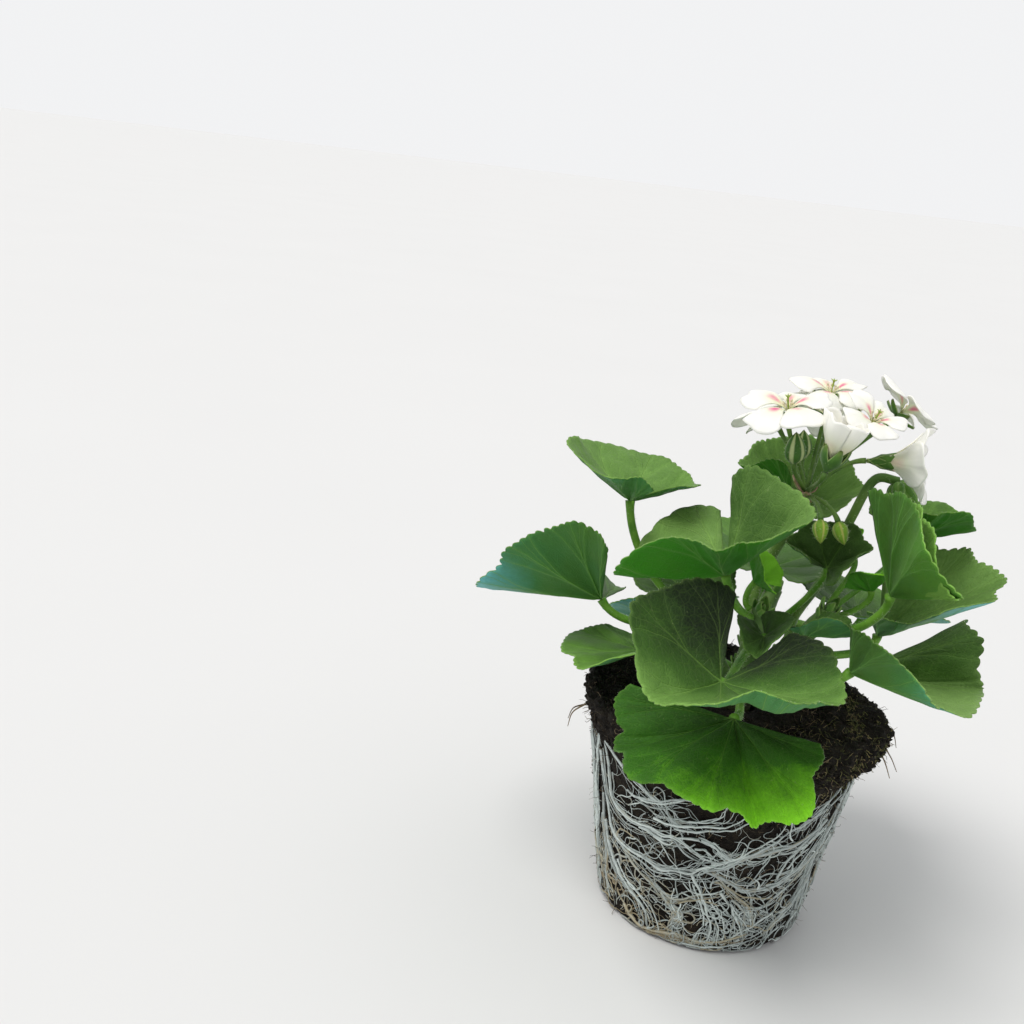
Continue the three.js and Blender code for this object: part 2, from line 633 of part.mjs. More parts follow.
// The stock in the soil with the shoots that rise from it, each with a tapered tip
// and a few pairs of stipules.
function stems() {
  const stockHeight = STOCK_TOP - STOCK_FOOT;
  const stock = new THREE.CylinderGeometry(STOCK_RADIUS - 1.5, STOCK_RADIUS, stockHeight, 12);
  stock.rotateX(Math.PI / 2).translate(CROWN.x, CROWN.y, STOCK_FOOT + stockHeight / 2);
  const parts = [stock];
  for (const { curve, radius } of Object.values(SHOOTS)) {
    const axis = curve.getTangentAt(1);
    const foot = curve.getPointAt(1).addScaledVector(axis, -1);
    parts.push(stalk(curve, radius, 6, 8));
    parts.push(point(foot, axis, radius * 0.9, TIP_LENGTH, 6));
  }
  for (const leaf of LEAVES) if (leaf.stipules) parts.push(...stipules(leaf));
  return fuse(parts);
}

// One petal, as a fan from the flower's middle: spin turns it about the facing, and
// lean is its angle from the facing.
function flowerSheet({ facing, spin, lean, length, spread }) {
  const turn = new THREE.Quaternion().setFromUnitVectors(vec(0, 0, 1), facing);
  const pointAt = (across, out) => {
    const aside = 2 * across - 1;
    const width = spread * (CLAW_SHARE + (1 - CLAW_SHARE) * out);
    const bearing = radians(spin + (aside * width) / 2);
    const reach = length * out * Math.sqrt(1 - 0.6 * Math.abs(aside) ** 2.4);
    const from = radians(lean * (0.6 + 0.4 * out) + PETAL_CURL * out * out);
    return vec(
      reach * Math.sin(from) * Math.cos(bearing),
      reach * Math.sin(from) * Math.sin(bearing),
      reach * Math.cos(from),
    ).applyQuaternion(turn);
  };
  const rings = [
    [0.55, 2],
    [1, 6],
  ];
  return fanSheet(pointAt, rings, PETAL_THICKNESS);
}

// The flowers. centre is where the petals meet, facing is the bearing and rise that
// the flower looks to, and lean is how far its petals open from that line.
const FLORETS = [
  { name: "floret_left", centre: [3, -13, 231], facing: [-120, 72], lean: 74, length: 20, spin: 10 },
  { name: "floret_top", centre: [19, 14, 235.5], facing: [-70, 80], lean: 72, length: 19, spin: 40 },
  { name: "floret_middle", centre: [36, -8, 230], facing: [-50, 62], lean: 60, length: 16, spin: 4 },
  { name: "floret_half_open", centre: [22.3, -24.5, 216], facing: [-20, 76], lean: 18, length: 19, spin: 20 },
  { name: "floret_right", centre: [41, 4, 213], facing: [-10, 8], lean: 38, length: 27, spin: 36 },
  { name: "floret_upper_right", centre: [49, 24, 231], facing: [20, 46], lean: 64, length: 19, spin: 0 },
  { name: "floret_rear", centre: [20, 39, 222], facing: [94, 42], lean: 66, length: 19, spin: 25 },
  { name: "floret_rear_left", centre: [-2, 20, 221], facing: [150, 48], lean: 66, length: 19, spin: 60 },
];
const PETALS = 5;
const PETAL_LAYERS = [-6, 5, -3, 6, 1]; // degrees that keep neighbouring petals apart

function floretGeometry({ facing, lean, length, spin }) {
  const parts = [new THREE.IcosahedronGeometry(RECEPTACLE_RADIUS, 0)];
  for (let k = 0; k < PETALS; k++) {
    const upperPair = k < 2;
    parts.push(
      flowerSheet({
        facing: heading(...facing),
        spin: spin + (k * 360) / PETALS,
        lean: lean + PETAL_LAYERS[k],
        length: length * (upperPair ? 0.88 : 1),
        spread: PETAL_SPREAD * (upperPair ? 0.84 : 1),
      }),
    );
  }
  return fuse(parts);
}

// A calyx: a cone-shaped star of five sepals about the end of a flower's stalk. It
// opens a little wider than the petals do.
const calyxOpening = ({ lean }) => radians(Math.min(lean + 16, 90));
const calyxPlace = (floret) => {
  const drop = CALYX_DROP / Math.sin(calyxOpening(floret));
  return vec(...floret.centre).addScaledVector(heading(...floret.facing), -drop);
};

function calyxGeometry(floret) {
  const turn = new THREE.Quaternion().setFromUnitVectors(vec(0, 0, 1), heading(...floret.facing));
  const opened = calyxOpening(floret);
  const around = 2 * PETALS;
  const points = [];
  for (const level of [-0.5, 0.5]) {
    const lift = vec(0, 0, level * CALYX_THICKNESS);
    points.push(lift.clone());
    for (let i = 0; i < around; i++) {
      const bearing = (i * 2 * Math.PI) / around;
      const reach = i % 2 ? SEPAL_LENGTH * 0.4 : SEPAL_LENGTH;
      const side = reach * Math.sin(opened);
      const tip = vec(side * Math.cos(bearing), side * Math.sin(bearing), reach * Math.cos(opened));
      points.push(tip.add(lift));
    }
  }
  const index = [];
  const upper = around + 1;
  for (let i = 1; i <= around; i++) {
    const next = (i % around) + 1;
    index.push(0, next, i, upper, upper + i, upper + next);
    index.push(i, next, upper + next, i, upper + next, upper + i);
  }
  return indexed(points, index).applyQuaternion(turn);
}

// A bowed stalk between two points that leaves the first one along a direction.
function bowed(from, leave, to, arrive) {
  const length = from.distanceTo(to);
  return new THREE.CubicBezierCurve3(
    from,
    from.clone().addScaledVector(leave, length * 0.36),
    to.clone().addScaledVector(arrive, -length * 0.3),
    to,
  );
}

// The flower head's green body: peduncle, bracts, pedicels, calyces and buds.
const UMBEL_BASE = vec(16, 0, 195);
const PEDUNCLE_RADIUS = 2.4;
const BUDS = [
  { base: [9, -10, 209], facing: [-150, 84], length: 14, radius: 4.5 },
  { base: [12, 6, 208], facing: [120, 80], length: 13, radius: 4 },
  { base: [23, -18, 191], facing: [-70, -62], length: 10.5, radius: 3.4 },
  { base: [30, -13, 190], facing: [-40, -58], length: 10.5, radius: 3.4 },
];
const BRACTS = [
  { facing: [-175, 35], length: 14, radius: 2.2 },
  { facing: [-120, 10], length: 11, radius: 2.2 },
  { facing: [-40, -20], length: 10, radius: 2 },
  { facing: [90, 20], length: 11, radius: 2 },
];

function umbel() {
  const { at, leave } = startOn(SHOOTS.centre, 0.88, vec(-12, 30, 150), PEDUNCLE_RADIUS);
  const rise = vec(0.12, 0, 1).normalize();
  const parts = [
    stalk(bowed(at, leave, UMBEL_BASE, rise), PEDUNCLE_RADIUS, 8, 6),
    new THREE.IcosahedronGeometry(3.2, 0).translate(UMBEL_BASE.x, UMBEL_BASE.y, UMBEL_BASE.z),
  ];
  const pedicel = (to, arrive) => {
    const away = to.clone().sub(UMBEL_BASE).normalize();
    const leaving = away.clone().add(vec(0, 0, 0.5)).normalize();
    parts.push(stalk(bowed(UMBEL_BASE, leaving, to, arrive), PEDICEL_RADIUS, 5, 4));
  };
  for (const floret of FLORETS) {
    const base = calyxPlace(floret);
    parts.push(calyxGeometry(floret).translate(base.x, base.y, base.z));
    pedicel(base, heading(...floret.facing));
  }
  for (const bud of BUDS) {
    const [base, direction] = [vec(...bud.base), heading(...bud.facing)];
    parts.push(budGeometry(base, direction, bud.length, bud.radius));
    pedicel(base.clone().addScaledVector(direction, 0.8), direction);
  }
  for (const bract of BRACTS) {
    parts.push(budGeometry(UMBEL_BASE, heading(...bract.facing), bract.length, bract.radius));
  }
  return fuse(parts);
}

// The young flower head: a stout hooked stalk with a nodding cluster of tight buds.
const NODDING_TIP = vec(53, 14, 204);
const NODDING_STALK_RADIUS = 2.3;
const NODDING_BUDS = 9;
const GOLDEN_ANGLE = 137.5;
function noddingHead() {
  const { at, leave } = startOn(SHOOTS.right, 0.55, vec(30, 60, 190), NODDING_STALK_RADIUS);
  const hook = new THREE.CatmullRomCurve3([
    at,
    at.clone().addScaledVector(leave, 12),
    vec(31, 10, 160),
    vec(37, 12, 186),
    vec(44, 13, 204),
    NODDING_TIP,
  ]);
  const parts = [
    stalk(hook, NODDING_STALK_RADIUS, 16, 6),
    new THREE.IcosahedronGeometry(3.4, 0).translate(NODDING_TIP.x, NODDING_TIP.y, NODDING_TIP.z),
  ];
  const draw = drawsFrom(5);
  for (let k = 0; k < NODDING_BUDS; k++) {
    const direction = heading(k * GOLDEN_ANGLE, -75 + 9 * k).add(vec(0.5, 0, -0.5)).normalize();
    parts.push(budGeometry(NODDING_TIP, direction, 11 + 3 * draw(), 3.2));
  }
  return fuse(parts);
}

const plant = new THREE.Group();
plant.add(piece("root_ball", rootBall(), SOIL));
plant.add(piece("root_net", rootNet(), ROOT));
plant.add(piece("stems", stems(), STEM));
for (const leaf of LEAVES) plant.add(leafPiece(leaf));
plant.add(piece("flower_head", umbel(), UMBEL));
plant.add(piece("young_flower_head", noddingHead(), UMBEL));
for (const floret of FLORETS) {
  const made = piece(floret.name, floretGeometry(floret), PETAL);
  made.position.set(...floret.centre);
  plant.add(made);
}

export default plant;
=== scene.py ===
"""A zonal geranium on its pot-shaped root ball: leaves, flowers, roots, peat and moss.

Sizes and places are in millimetres in the tables and in metres in the meshes.
"""
import math

import bpy
import numpy as np
from mathutils import Matrix, Vector, noise


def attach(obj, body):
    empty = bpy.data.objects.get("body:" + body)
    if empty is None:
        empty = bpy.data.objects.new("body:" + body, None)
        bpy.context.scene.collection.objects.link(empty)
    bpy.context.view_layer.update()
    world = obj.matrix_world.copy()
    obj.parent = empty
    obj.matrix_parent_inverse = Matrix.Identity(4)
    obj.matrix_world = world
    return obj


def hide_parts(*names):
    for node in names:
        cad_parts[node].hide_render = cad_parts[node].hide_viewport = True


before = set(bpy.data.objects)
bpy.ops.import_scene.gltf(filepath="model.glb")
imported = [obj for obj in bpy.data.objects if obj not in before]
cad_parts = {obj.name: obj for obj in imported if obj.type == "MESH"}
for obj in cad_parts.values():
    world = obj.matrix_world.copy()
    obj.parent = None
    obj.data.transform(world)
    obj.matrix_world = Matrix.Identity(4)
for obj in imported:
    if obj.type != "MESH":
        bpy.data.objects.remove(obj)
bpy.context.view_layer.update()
MM = 0.001

# Sizes that the solids have too.
BALL_BASE_RADIUS = 45.5
BALL_SHOULDER_RADIUS = 58.5
BALL_SHOULDER_HEIGHT = 80
MOSS_BEARING = 12
MOSS_WIDTH = 34
MOSS_REACH = 7
SEAT_GAP = 0.35
VEIN_STEP = 50
VEIN_END = 150
BLADE_SPAN = 166
BACK_SHORTENING = 0.26
LOBE_DEPTH = 0.035
PLEAT_HEIGHT = 0.035
BLADE_RUFFLE = 0.03
BLADE_CURL = 6
WAVES_PER_TURN = 3.1
PETIOLE_RADIUS = 1.9
THIN_PETIOLE_RADIUS = 1.4
LARGE_BLADE = 30
START_SLANT = 0.46
STALK_ASIDE = 0.88
STALK_ALONG = 0.48
PETIOLE_BOW = 0.36
PETIOLE_ARRIVAL = 0.32
PETIOLE_LEAN = 0.5
PETAL_CURL = 12
PETAL_SPREAD = 84
CLAW_SHARE = 0.4
CALYX_DROP = 2.82
SEPAL_LENGTH = 9
PEDICEL_RADIUS = 0.95
CROWN = (2, -2, 101)

# Sizes and counts of the finer forms.
BLADE_THICKNESS = 0.55
CRENATIONS = 46
CRENATION_DEPTH = 0.021
CRENATION_START = 0.72
FORK_START = 0.36
FORK_SLANT = 27
SECOND_FORK_START = 0.64
SECOND_FORK_SLANT = 24
FORK_WIDTH = 1.6
FORK_DEPTH = 0.35
MIDRIB_WIDTH = 1.5
MIDRIB_DEPTH = 0.5
RIPPLE_HEIGHT = 0.28
STALK_SHARE = 0.93
PETAL_THICKNESS = 0.4
FINE_MERGE = 0.0000005
SEAM_MERGE = 0.00002
CLOSEST_POINTS = 0.04
LARGE_GRID = (222, 24)
SMALL_GRID = (130, 16)
RIM_STEPS = 400
HAIRS_PER_MM = 5

# Turns, in radians and in degrees.
FULL_TURN = 6.28
GOLDEN_ANGLE = 137.5
FIFTH_TURN = 72


# Directions and curves

def heading(bearing, rise):
    """The direction with a bearing and a rise, in degrees."""
    b, r = np.radians(bearing), np.radians(rise)
    return np.stack([np.cos(b) * np.cos(r), np.sin(b) * np.cos(r), np.sin(r)], -1)


def unit(v):
    return v / np.linalg.norm(v, axis=-1, keepdims=True)


def turned(v, axis, angle):
    return np.array(Matrix.Rotation(angle, 3, Vector(axis)) @ Vector(v))


def facing_turn(direction):
    """The turn that takes +Z to a direction."""
    return np.array(Vector((0, 0, 1)).rotation_difference(Vector(direction)).to_matrix())


def bezier(p0, p1, p2, p3, count):
    t = np.linspace(0, 1, count)[:, None]
    return (1 - t) ** 3 * p0 + 3 * (1 - t) ** 2 * t * p1 + 3 * (1 - t) * t**2 * p2 + t**3 * p3


def smooth_line(points, steps=24):
    """A centripetal spline through points."""
    p = [np.array(q, float) for q in points]
    p = [2 * p[0] - p[1]] + p + [2 * p[-1] - p[-2]]
    line = []
    for i in range(1, len(p) - 2):
        a, b, c, d = p[i - 1 : i + 3]
        d0, d1, d2 = (max(np.linalg.norm(v) ** 0.5, 1e-4) for v in (b - a, c - b, d - c))
        t1 = ((b - a) / d0 - (c - a) / (d0 + d1) + (c - b) / d1) * d1
        t2 = ((c - b) / d1 - (d - b) / (d1 + d2) + (d - c) / d2) * d1
        t = np.linspace(0, 1, steps, endpoint=i == len(p) - 3)[:, None]
        line.append(b + t1 * t + (3 * c - 3 * b - 2 * t1 - t2) * t**2 + (2 * b - 2 * c + t1 + t2) * t**3)
    return np.concatenate(line)


def at_share(line, share):
    """The point and direction at a share of a line's length."""
    steps = np.linalg.norm(np.diff(line, axis=0), axis=1)
    run = np.concatenate([[0], np.cumsum(steps)]) / steps.sum()
    point = np.array([np.interp(share, run, line[:, k]) for k in range(3)])
    i = min(np.searchsorted(run, share, side="right"), len(line) - 1)
    return point, unit(line[i] - line[i - 1])


def bearing_gap(bearing, other):
    """How far a bearing is from another one, from -180 to 180 degrees."""
    return (bearing - other + 540) % 360 - 180


def smoothstep(x, low, high):
    """Runs smoothly from 0 at low to 1 at high."""
    t = np.clip((x - low) / (high - low), 0, 1)
    return t * t * (3 - 2 * t)


# Objects

def deselect():
    bpy.ops.object.select_all(action="DESELECT")


def pick(*objects):
    deselect()
    for ob in objects:
        ob.select_set(True)
    bpy.context.view_layer.objects.active = objects[0]


def apply_modifiers(ob):
    pick(ob)
    for modifier in list(ob.modifiers):
        bpy.ops.object.modifier_apply(modifier=modifier.name)


def smooth_shaded(ob):
    pick(ob)
    bpy.ops.object.shade_smooth()


def set_attribute(ob, name, values):
    layer = ob.data.attributes.new(name, "FLOAT", "POINT")
    layer.data.foreach_set("value", np.asarray(values, np.float32).ravel())


def merge_doubles(ob, distance, closed=False):
    """Joins points that fall together, and turns a closed form's faces outwards."""
    pick(ob)
    bpy.ops.object.mode_set(mode="EDIT")
    bpy.ops.mesh.select_all(action="SELECT")
    bpy.ops.mesh.remove_doubles(threshold=distance)
    if closed:
        bpy.ops.mesh.normals_make_consistent(inside=False)
    bpy.ops.object.mode_set(mode="OBJECT")


def surface(name, place, across, along, thickness=0, attributes=None, looks=(), closed=False):
    """A grid laid out by a rule: place(u, v) gives points in mm for u and v in 0 to 1.

    Its looks are the materials of its underside and its upper side."""
    deselect()
    bpy.ops.mesh.primitive_grid_add(x_subdivisions=across, y_subdivisions=along, size=1)
    ob = bpy.context.object
    ob.name = ob.data.name = name
    count = len(ob.data.vertices)
    flat = np.empty(count * 3)
    ob.data.vertices.foreach_get("co", flat)
    flat = flat.reshape(-1, 3)
    u, v = flat[:, 0] + 0.5, flat[:, 1] + 0.5
    ob.data.vertices.foreach_set("co", (place(u, v) * MM).ravel())
    for key, rule in (attributes or {}).items():
        set_attribute(ob, key, np.broadcast_to(rule(u, v), u.shape))
    clothe(ob, *looks)
    merge_doubles(ob, SEAM_MERGE, closed)
    if thickness:
        shell = ob.modifiers.new("thickness", "SOLIDIFY")
        shell.thickness = thickness * MM
        shell.offset = 0
        shell.material_offset = shell.material_offset_rim = len(looks) - 1 if looks else 0
        apply_modifiers(ob)
    smooth_shaded(ob)
    return ob


def well_spaced(points, radii):
    """A line without points that nearly fall together."""
    points = np.asarray(points, float)
    keep = np.concatenate([[True], np.linalg.norm(np.diff(points, axis=0), axis=1) > CLOSEST_POINTS])
    return points[keep], np.broadcast_to(radii, len(points))[keep]


def tubes(name, lines, sides=8, shades=None):
    """Round strands: each line is its points in mm and its radius at each point."""
    lines = [well_spaced(points, radii) for points, radii in lines]
    curve = bpy.data.curves.new(name, "CURVE")
    curve.dimensions = "3D"
    curve.bevel_depth = MM
    curve.bevel_resolution = (sides - 4) // 2
    curve.use_fill_caps = True
    for points, radii in lines:
        spline = curve.splines.new("POLY")
        spline.points.add(len(points) - 1)
        co = np.ones((len(points), 4))
        co[:, :3] = np.asarray(points) * MM
        spline.points.foreach_set("co", co.ravel())
        spline.points.foreach_set("radius", radii.astype(float))
    ob = bpy.data.objects.new(name, curve)
    bpy.context.collection.objects.link(ob)
    pick(ob)
    bpy.ops.object.convert(target="MESH")
    ob = bpy.context.object
    ob.name = ob.data.name = name
    if shades is not None:
        counts = [len(points) for points, _ in lines]
        around = len(ob.data.vertices) // (sum(counts) + 2 * len(lines))
        caps = np.repeat(np.asarray(shades)[::-1], 2 * around)
        set_attribute(ob, "shade", np.concatenate([caps, np.repeat(shades, around * np.array(counts))]))
    merge_doubles(ob, FINE_MERGE)
    smooth_shaded(ob)
    return ob


def strewn(name, model, places):
    """Copies of one small form in one mesh: places are 3 x 4 arrays of turn, size and place in mm."""
    count = len(model.data.vertices)
    co = np.empty(count * 3)
    model.data.vertices.foreach_get("co", co)
    co = co.reshape(-1, 3)
    faces = [list(p.vertices) for p in model.data.polygons]
    places = np.asarray(places)
    points = np.einsum("nij,kj->nki", places[:, :, :3], co) + places[:, None, :, 3]
    mesh = bpy.data.meshes.new(name)
    every = [[i + n * count for i in face] for n in range(len(places)) for face in faces]
    mesh.from_pydata((points.reshape(-1, 3) * MM).tolist(), [], every)
    mesh.update()
    ob = bpy.data.objects.new(name, mesh)
    bpy.context.collection.objects.link(ob)
    bpy.data.objects.remove(model)
    smooth_shaded(ob)
    return ob


def joined(name, objects):
    """Several objects as one piece."""
    pick(*objects)
    bpy.ops.object.join()
    ob = bpy.context.object
    ob.name = ob.data.name = name
    return ob


def clothe(ob, *materials):
    ob.data.materials.clear()
    for look in materials:
        ob.data.materials.append(look)
    return ob


def enrol(ob, slot, *nodes):
    """Hangs a piece under the root body and hides the solids that it dresses. Its slot is not used."""
    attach(ob, "root")
    if nodes:
        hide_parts(*nodes)


# Shader building

class Graph:
    """Adds shader nodes to a tree and links them."""

    def __init__(self, tree):
        self.tree = tree

    def add(self, kind, inputs=None, **settings):
        node = self.tree.nodes.new(kind)
        for key, value in settings.items():
            setattr(node, key, value)
        for key, value in (inputs or {}).items():
            if isinstance(value, bpy.types.NodeSocket):
                self.tree.links.new(value, node.inputs[key])
            else:
                node.inputs[key].default_value = value
        return node

    def math(self, operation, a, b=0.0, c=0.0):
        return self.add("ShaderNodeMath", {0: a, 1: b, 2: c}, operation=operation).outputs[0]

    def plus(self, a, b):
        return self.math("ADD", a, b)

    def minus(self, a, b):
        return self.math("SUBTRACT", a, b)

    def times(self, a, b):
        return self.math("MULTIPLY", a, b)

    def scaled(self, value, factor, offset):
        """A value times a factor, plus an offset."""
        return self.math("MULTIPLY_ADD", value, factor, offset)

    def most(self, a, b):
        return self.math("MAXIMUM", a, b)

    def step(self, value, low, high, start=0.0, end=1.0):
        """Runs smoothly from start to end while the value goes from low to high."""
        node = self.add(
            "ShaderNodeMapRange",
            {"Value": value, "From Min": low, "From Max": high, "To Min": start, "To Max": end},
            interpolation_type="SMOOTHSTEP",
        )
        return node.outputs[0]

    def mix(self, factor, a, b, blend="MIX"):
        node = self.add("ShaderNodeMix", {0: factor, 6: a, 7: b}, data_type="RGBA", blend_type=blend)
        return node.outputs[2]

    def noise(self, vector, scale, detail=3.0, roughness=0.5, distortion=0.0):
        values = {"Vector": vector, "Scale": scale, "Detail": detail, "Roughness": roughness,
                  "Distortion": distortion}
        return self.add("ShaderNodeTexNoise", values).outputs[0]

    def cracks(self, vector, scale):
        values = {"Vector": vector, "Scale": scale}
        return self.add("ShaderNodeTexVoronoi", values, feature="DISTANCE_TO_EDGE").outputs[0]

    def place(self):
        """The point's own place in its object, in metres."""
        return self.add("ShaderNodeTexCoord").outputs["Object"]

    def attribute(self, name):
        return self.add("ShaderNodeAttribute", attribute_name=name).outputs["Fac"]

    def bump(self, height, strength, distance):
        values = {"Height": height, "Strength": strength, "Distance": distance}
        return self.add("ShaderNodeBump", values).outputs[0]


def rgb(r, g, b):
    return (r, g, b, 1.0)


def material(name, **shader):
    """A material with a Principled shader: returns it, its graph and the shader node."""
    made = bpy.data.materials.new(name)
    made.use_nodes = True
    bsdf = made.node_tree.nodes["Principled BSDF"]
    for key, value in shader.items():
        bsdf.inputs[key.replace("_", " ")].default_value = value
    return made, Graph(made.node_tree), bsdf


def feed(graph, bsdf, **sockets):
    """Links values to the sockets of a shader node."""
    for key, value in sockets.items():
        graph.tree.links.new(value, bsdf.inputs[key.replace("_", " ")])


def group(name, inputs, outputs, build):
    """A shader node group: build(graph, inputs) returns its output sockets in order."""
    tree = bpy.data.node_groups.new(name, "ShaderNodeTree")
    for label, kind, value in inputs:
        socket = tree.interface.new_socket(label, in_out="INPUT", socket_type=kind)
        if value is not None:
            socket.default_value = value
    for label, kind in outputs:
        tree.interface.new_socket(label, in_out="OUTPUT", socket_type=kind)
    graph = Graph(tree)
    entry = tree.nodes.new("NodeGroupInput")
    leave = tree.nodes.new("NodeGroupOutput")
    for socket, value in zip(leave.inputs, build(graph, entry.outputs)):
        tree.links.new(value, socket)
    return tree


def placed(graph, tree, **values):
    """Adds a node group to a graph and returns its outputs."""
    node = graph.add("ShaderNodeGroup", node_tree=tree)
    for key, value in values.items():
        socket = node.inputs[key.replace("_", " ")]
        if isinstance(value, bpy.types.NodeSocket):
            graph.tree.links.new(value, socket)
        else:
            socket.default_value = value
    return node.outputs


def vein_pattern(g, given):
    """Main veins that fork towards the rim, with the net between them."""
    uv = g.add("ShaderNodeSeparateXYZ", {0: given["Leaf Map"]})
    place = given["Place"]
    r = uv.outputs[1]
    bend = g.minus(g.noise(place, 55.0, 2.0), 0.5)
    angle = g.times(g.minus(uv.outputs[0], 0.5), 2.0 * BLADE_SPAN)
    wandered = g.plus(angle, g.times(bend, g.times(r, 9.0)))
    local = g.math("DIVIDE", wandered, float(VEIN_STEP))
    nearest = g.math("MINIMUM", g.most(g.math("ROUND", local), -3.0), 3.0)
    off = g.minus(local, nearest)
    side = g.math("SIGN", off)
    aside = g.times(g.math("ABSOLUTE", off), float(VEIN_STEP))
    to_length = g.times(r, math.pi / 180)

    def line(offset, width, start):
        away = g.times(g.math("ABSOLUTE", g.minus(aside, offset)), to_length)
        mask = g.step(g.math("DIVIDE", away, width), 0.5, 1.5, 1.0, 0.0)
        return g.times(mask, g.step(r, start, start + 0.03))

    main_width = g.scaled(r, -0.0085, 0.0125)
    fork_width = g.scaled(r, -0.004, 0.0075)
    early = g.scaled(side, 0.05, FORK_START)
    late = g.scaled(side, -0.05, SECOND_FORK_START)
    spread = g.times(g.most(g.minus(r, early), 0.0), FORK_SLANT)
    tip_spread = g.times(g.most(g.minus(r, late), 0.0), SECOND_FORK_SLANT)
    veins = g.most(line(0.0, main_width, -0.1), line(spread, fork_width, 0.3))
    veins = g.most(veins, g.times(line(tip_spread, fork_width, 0.58), 0.8))
    turn = g.times(angle, math.pi / 180)
    flat = g.add("ShaderNodeCombineXYZ", {
        0: g.times(r, g.math("COSINE", turn)),
        1: g.times(r, g.math("SINE", turn)),
        2: g.times(g.noise(place, 18.0, 1.0), 0.3),
    }).outputs[0]
    coarse = g.step(g.cracks(flat, 11.0), 0.0, 0.07, 1.0, 0.0)
    fine = g.step(g.cracks(flat, 30.0), 0.0, 0.12, 1.0, 0.0)
    net = g.most(coarse, g.times(fine, 0.55))
    # Halo: a broad band along the main veins, which the leaves show paler: partly the veins' own paler colour
    # and partly painted highlight on their raised ridges.
    halo = g.most(line(0.0, 0.045, -0.1), g.times(line(spread, 0.03, 0.3), 0.7))
    return veins, net, r, halo


VEINS = group(
    "leaf veins",
    [("Leaf Map", "NodeSocketVector", None), ("Place", "NodeSocketVector", None)],
    [("Veins", "NodeSocketFloat"), ("Net", "NodeSocketFloat"), ("Out", "NodeSocketFloat"),
     ("Halo", "NodeSocketFloat")],
    vein_pattern,
)


def skin_pattern(g, given):
    """Pebbled skin under fine down: a height and a blotchy shade."""
    pebbles = g.cracks(given["Place"], 1500.0)
    down = g.noise(given["Place"], 3200.0, 2.0, 0.7)
    blotch = g.noise(given["Place"], given["Blotch Scale"], 4.0, 0.6)
    height = g.plus(g.times(pebbles, 0.7), g.times(down, 0.5))
    return height, blotch


SKIN = group(
    "plant skin",
    [("Place", "NodeSocketVector", None), ("Blotch Scale", "NodeSocketFloat", 90.0)],
    [("Height", "NodeSocketFloat"), ("Blotch", "NodeSocketFloat")],
    skin_pattern,
)


def set_ramp(node, stops):
    ramp = node.color_ramp
    while len(ramp.elements) < len(stops):
        ramp.elements.new(0.5)
    for element, (at, colour) in zip(ramp.elements, stops):
        element.position = at
        element.color = colour


def leaf_material(name, blotch_scale, **shader):
    """A leaf's material, its graph and shader node, and its place, vein and skin outputs."""
    look, g, bsdf = material(name, **shader)
    place = g.place()
    leaf_map = g.add("ShaderNodeUVMap").outputs[0]
    veins = placed(g, VEINS, Leaf_Map=leaf_map, Place=place)
    skin = placed(g, SKIN, Place=place, Blotch_Scale=blotch_scale)
    return look, g, bsdf, place, veins, skin


def leaf_upper_side():
    """Olive to lush green, clouded and velvety, with paler veins and rim; its tone holds painted light and
    shade, the pale rim is a painted highlight, and the band along the main veins is partly one.
    """
    look, g, bsdf, place, veins, skin = leaf_material(
        "leaf upper side", 85.0, Roughness=0.52, Sheen_Weight=0.03, Specular_IOR_Level=0.22)
    clouds = g.minus(g.noise(place, 38.0, 3.0, 0.6), 0.5)
    # The tone attribute is partly the leaf's own colour and partly painted light and shade across its lobes.
    tone = g.plus(g.attribute("tone"), g.times(g.minus(skin["Blotch"], 0.5), 0.38))
    tone = g.plus(tone, g.times(clouds, 0.36))
    velvet = g.minus(g.noise(place, 1100.0, 3.0, 0.7), 0.5)
    tone = g.plus(tone, g.times(velvet, 0.3))
    # Paler along the main veins: partly their own colour and partly painted highlight on the raised ridges.
    tone = g.plus(tone, g.times(veins["Halo"], 0.07))
    olive = g.add("ShaderNodeValToRGB", {0: tone})
    lush = g.add("ShaderNodeValToRGB", {0: tone})
    set_ramp(olive, [(0, rgb(0.004, 0.011, 0.002)), (0.5, rgb(0.046, 0.110, 0.015)),
                     (1, rgb(0.165, 0.265, 0.082))])
    set_ramp(lush, [(0, rgb(0.006, 0.026, 0.001)), (0.5, rgb(0.032, 0.14, 0.004)),
                    (1, rgb(0.22, 0.66, 0.012))])
    base = g.mix(g.attribute("lush"), olive.outputs[0], lush.outputs[0])
    paler = g.mix(1.0, base, rgb(0.09, 0.15, 0.03), "ADD")
    base = g.mix(g.times(veins["Net"], 0.17), base, paler)
    base = g.mix(g.times(veins["Veins"], g.scaled(veins["Out"], -0.45, 0.66)), base, paler)
    fleck = g.step(g.noise(place, 620.0, 1.0), 0.74, 0.78)
    base = g.mix(g.times(fleck, 0.22), base, rgb(0.30, 0.36, 0.16))
    # Painted highlight: the rim is made paler where the blade's edge catches light.
    base = g.mix(g.step(veins["Out"], 0.975, 0.999, 0.0, 0.36), base, paler)
    height = g.minus(g.times(skin["Height"], 0.45), veins["Veins"])
    height = g.minus(height, g.times(veins["Net"], 0.35))
    rough = g.scaled(skin["Blotch"], 0.2, 0.42)
    feed(g, bsdf, Base_Color=base, Roughness=rough, Normal=g.bump(height, 0.6, 0.0007))
    return look


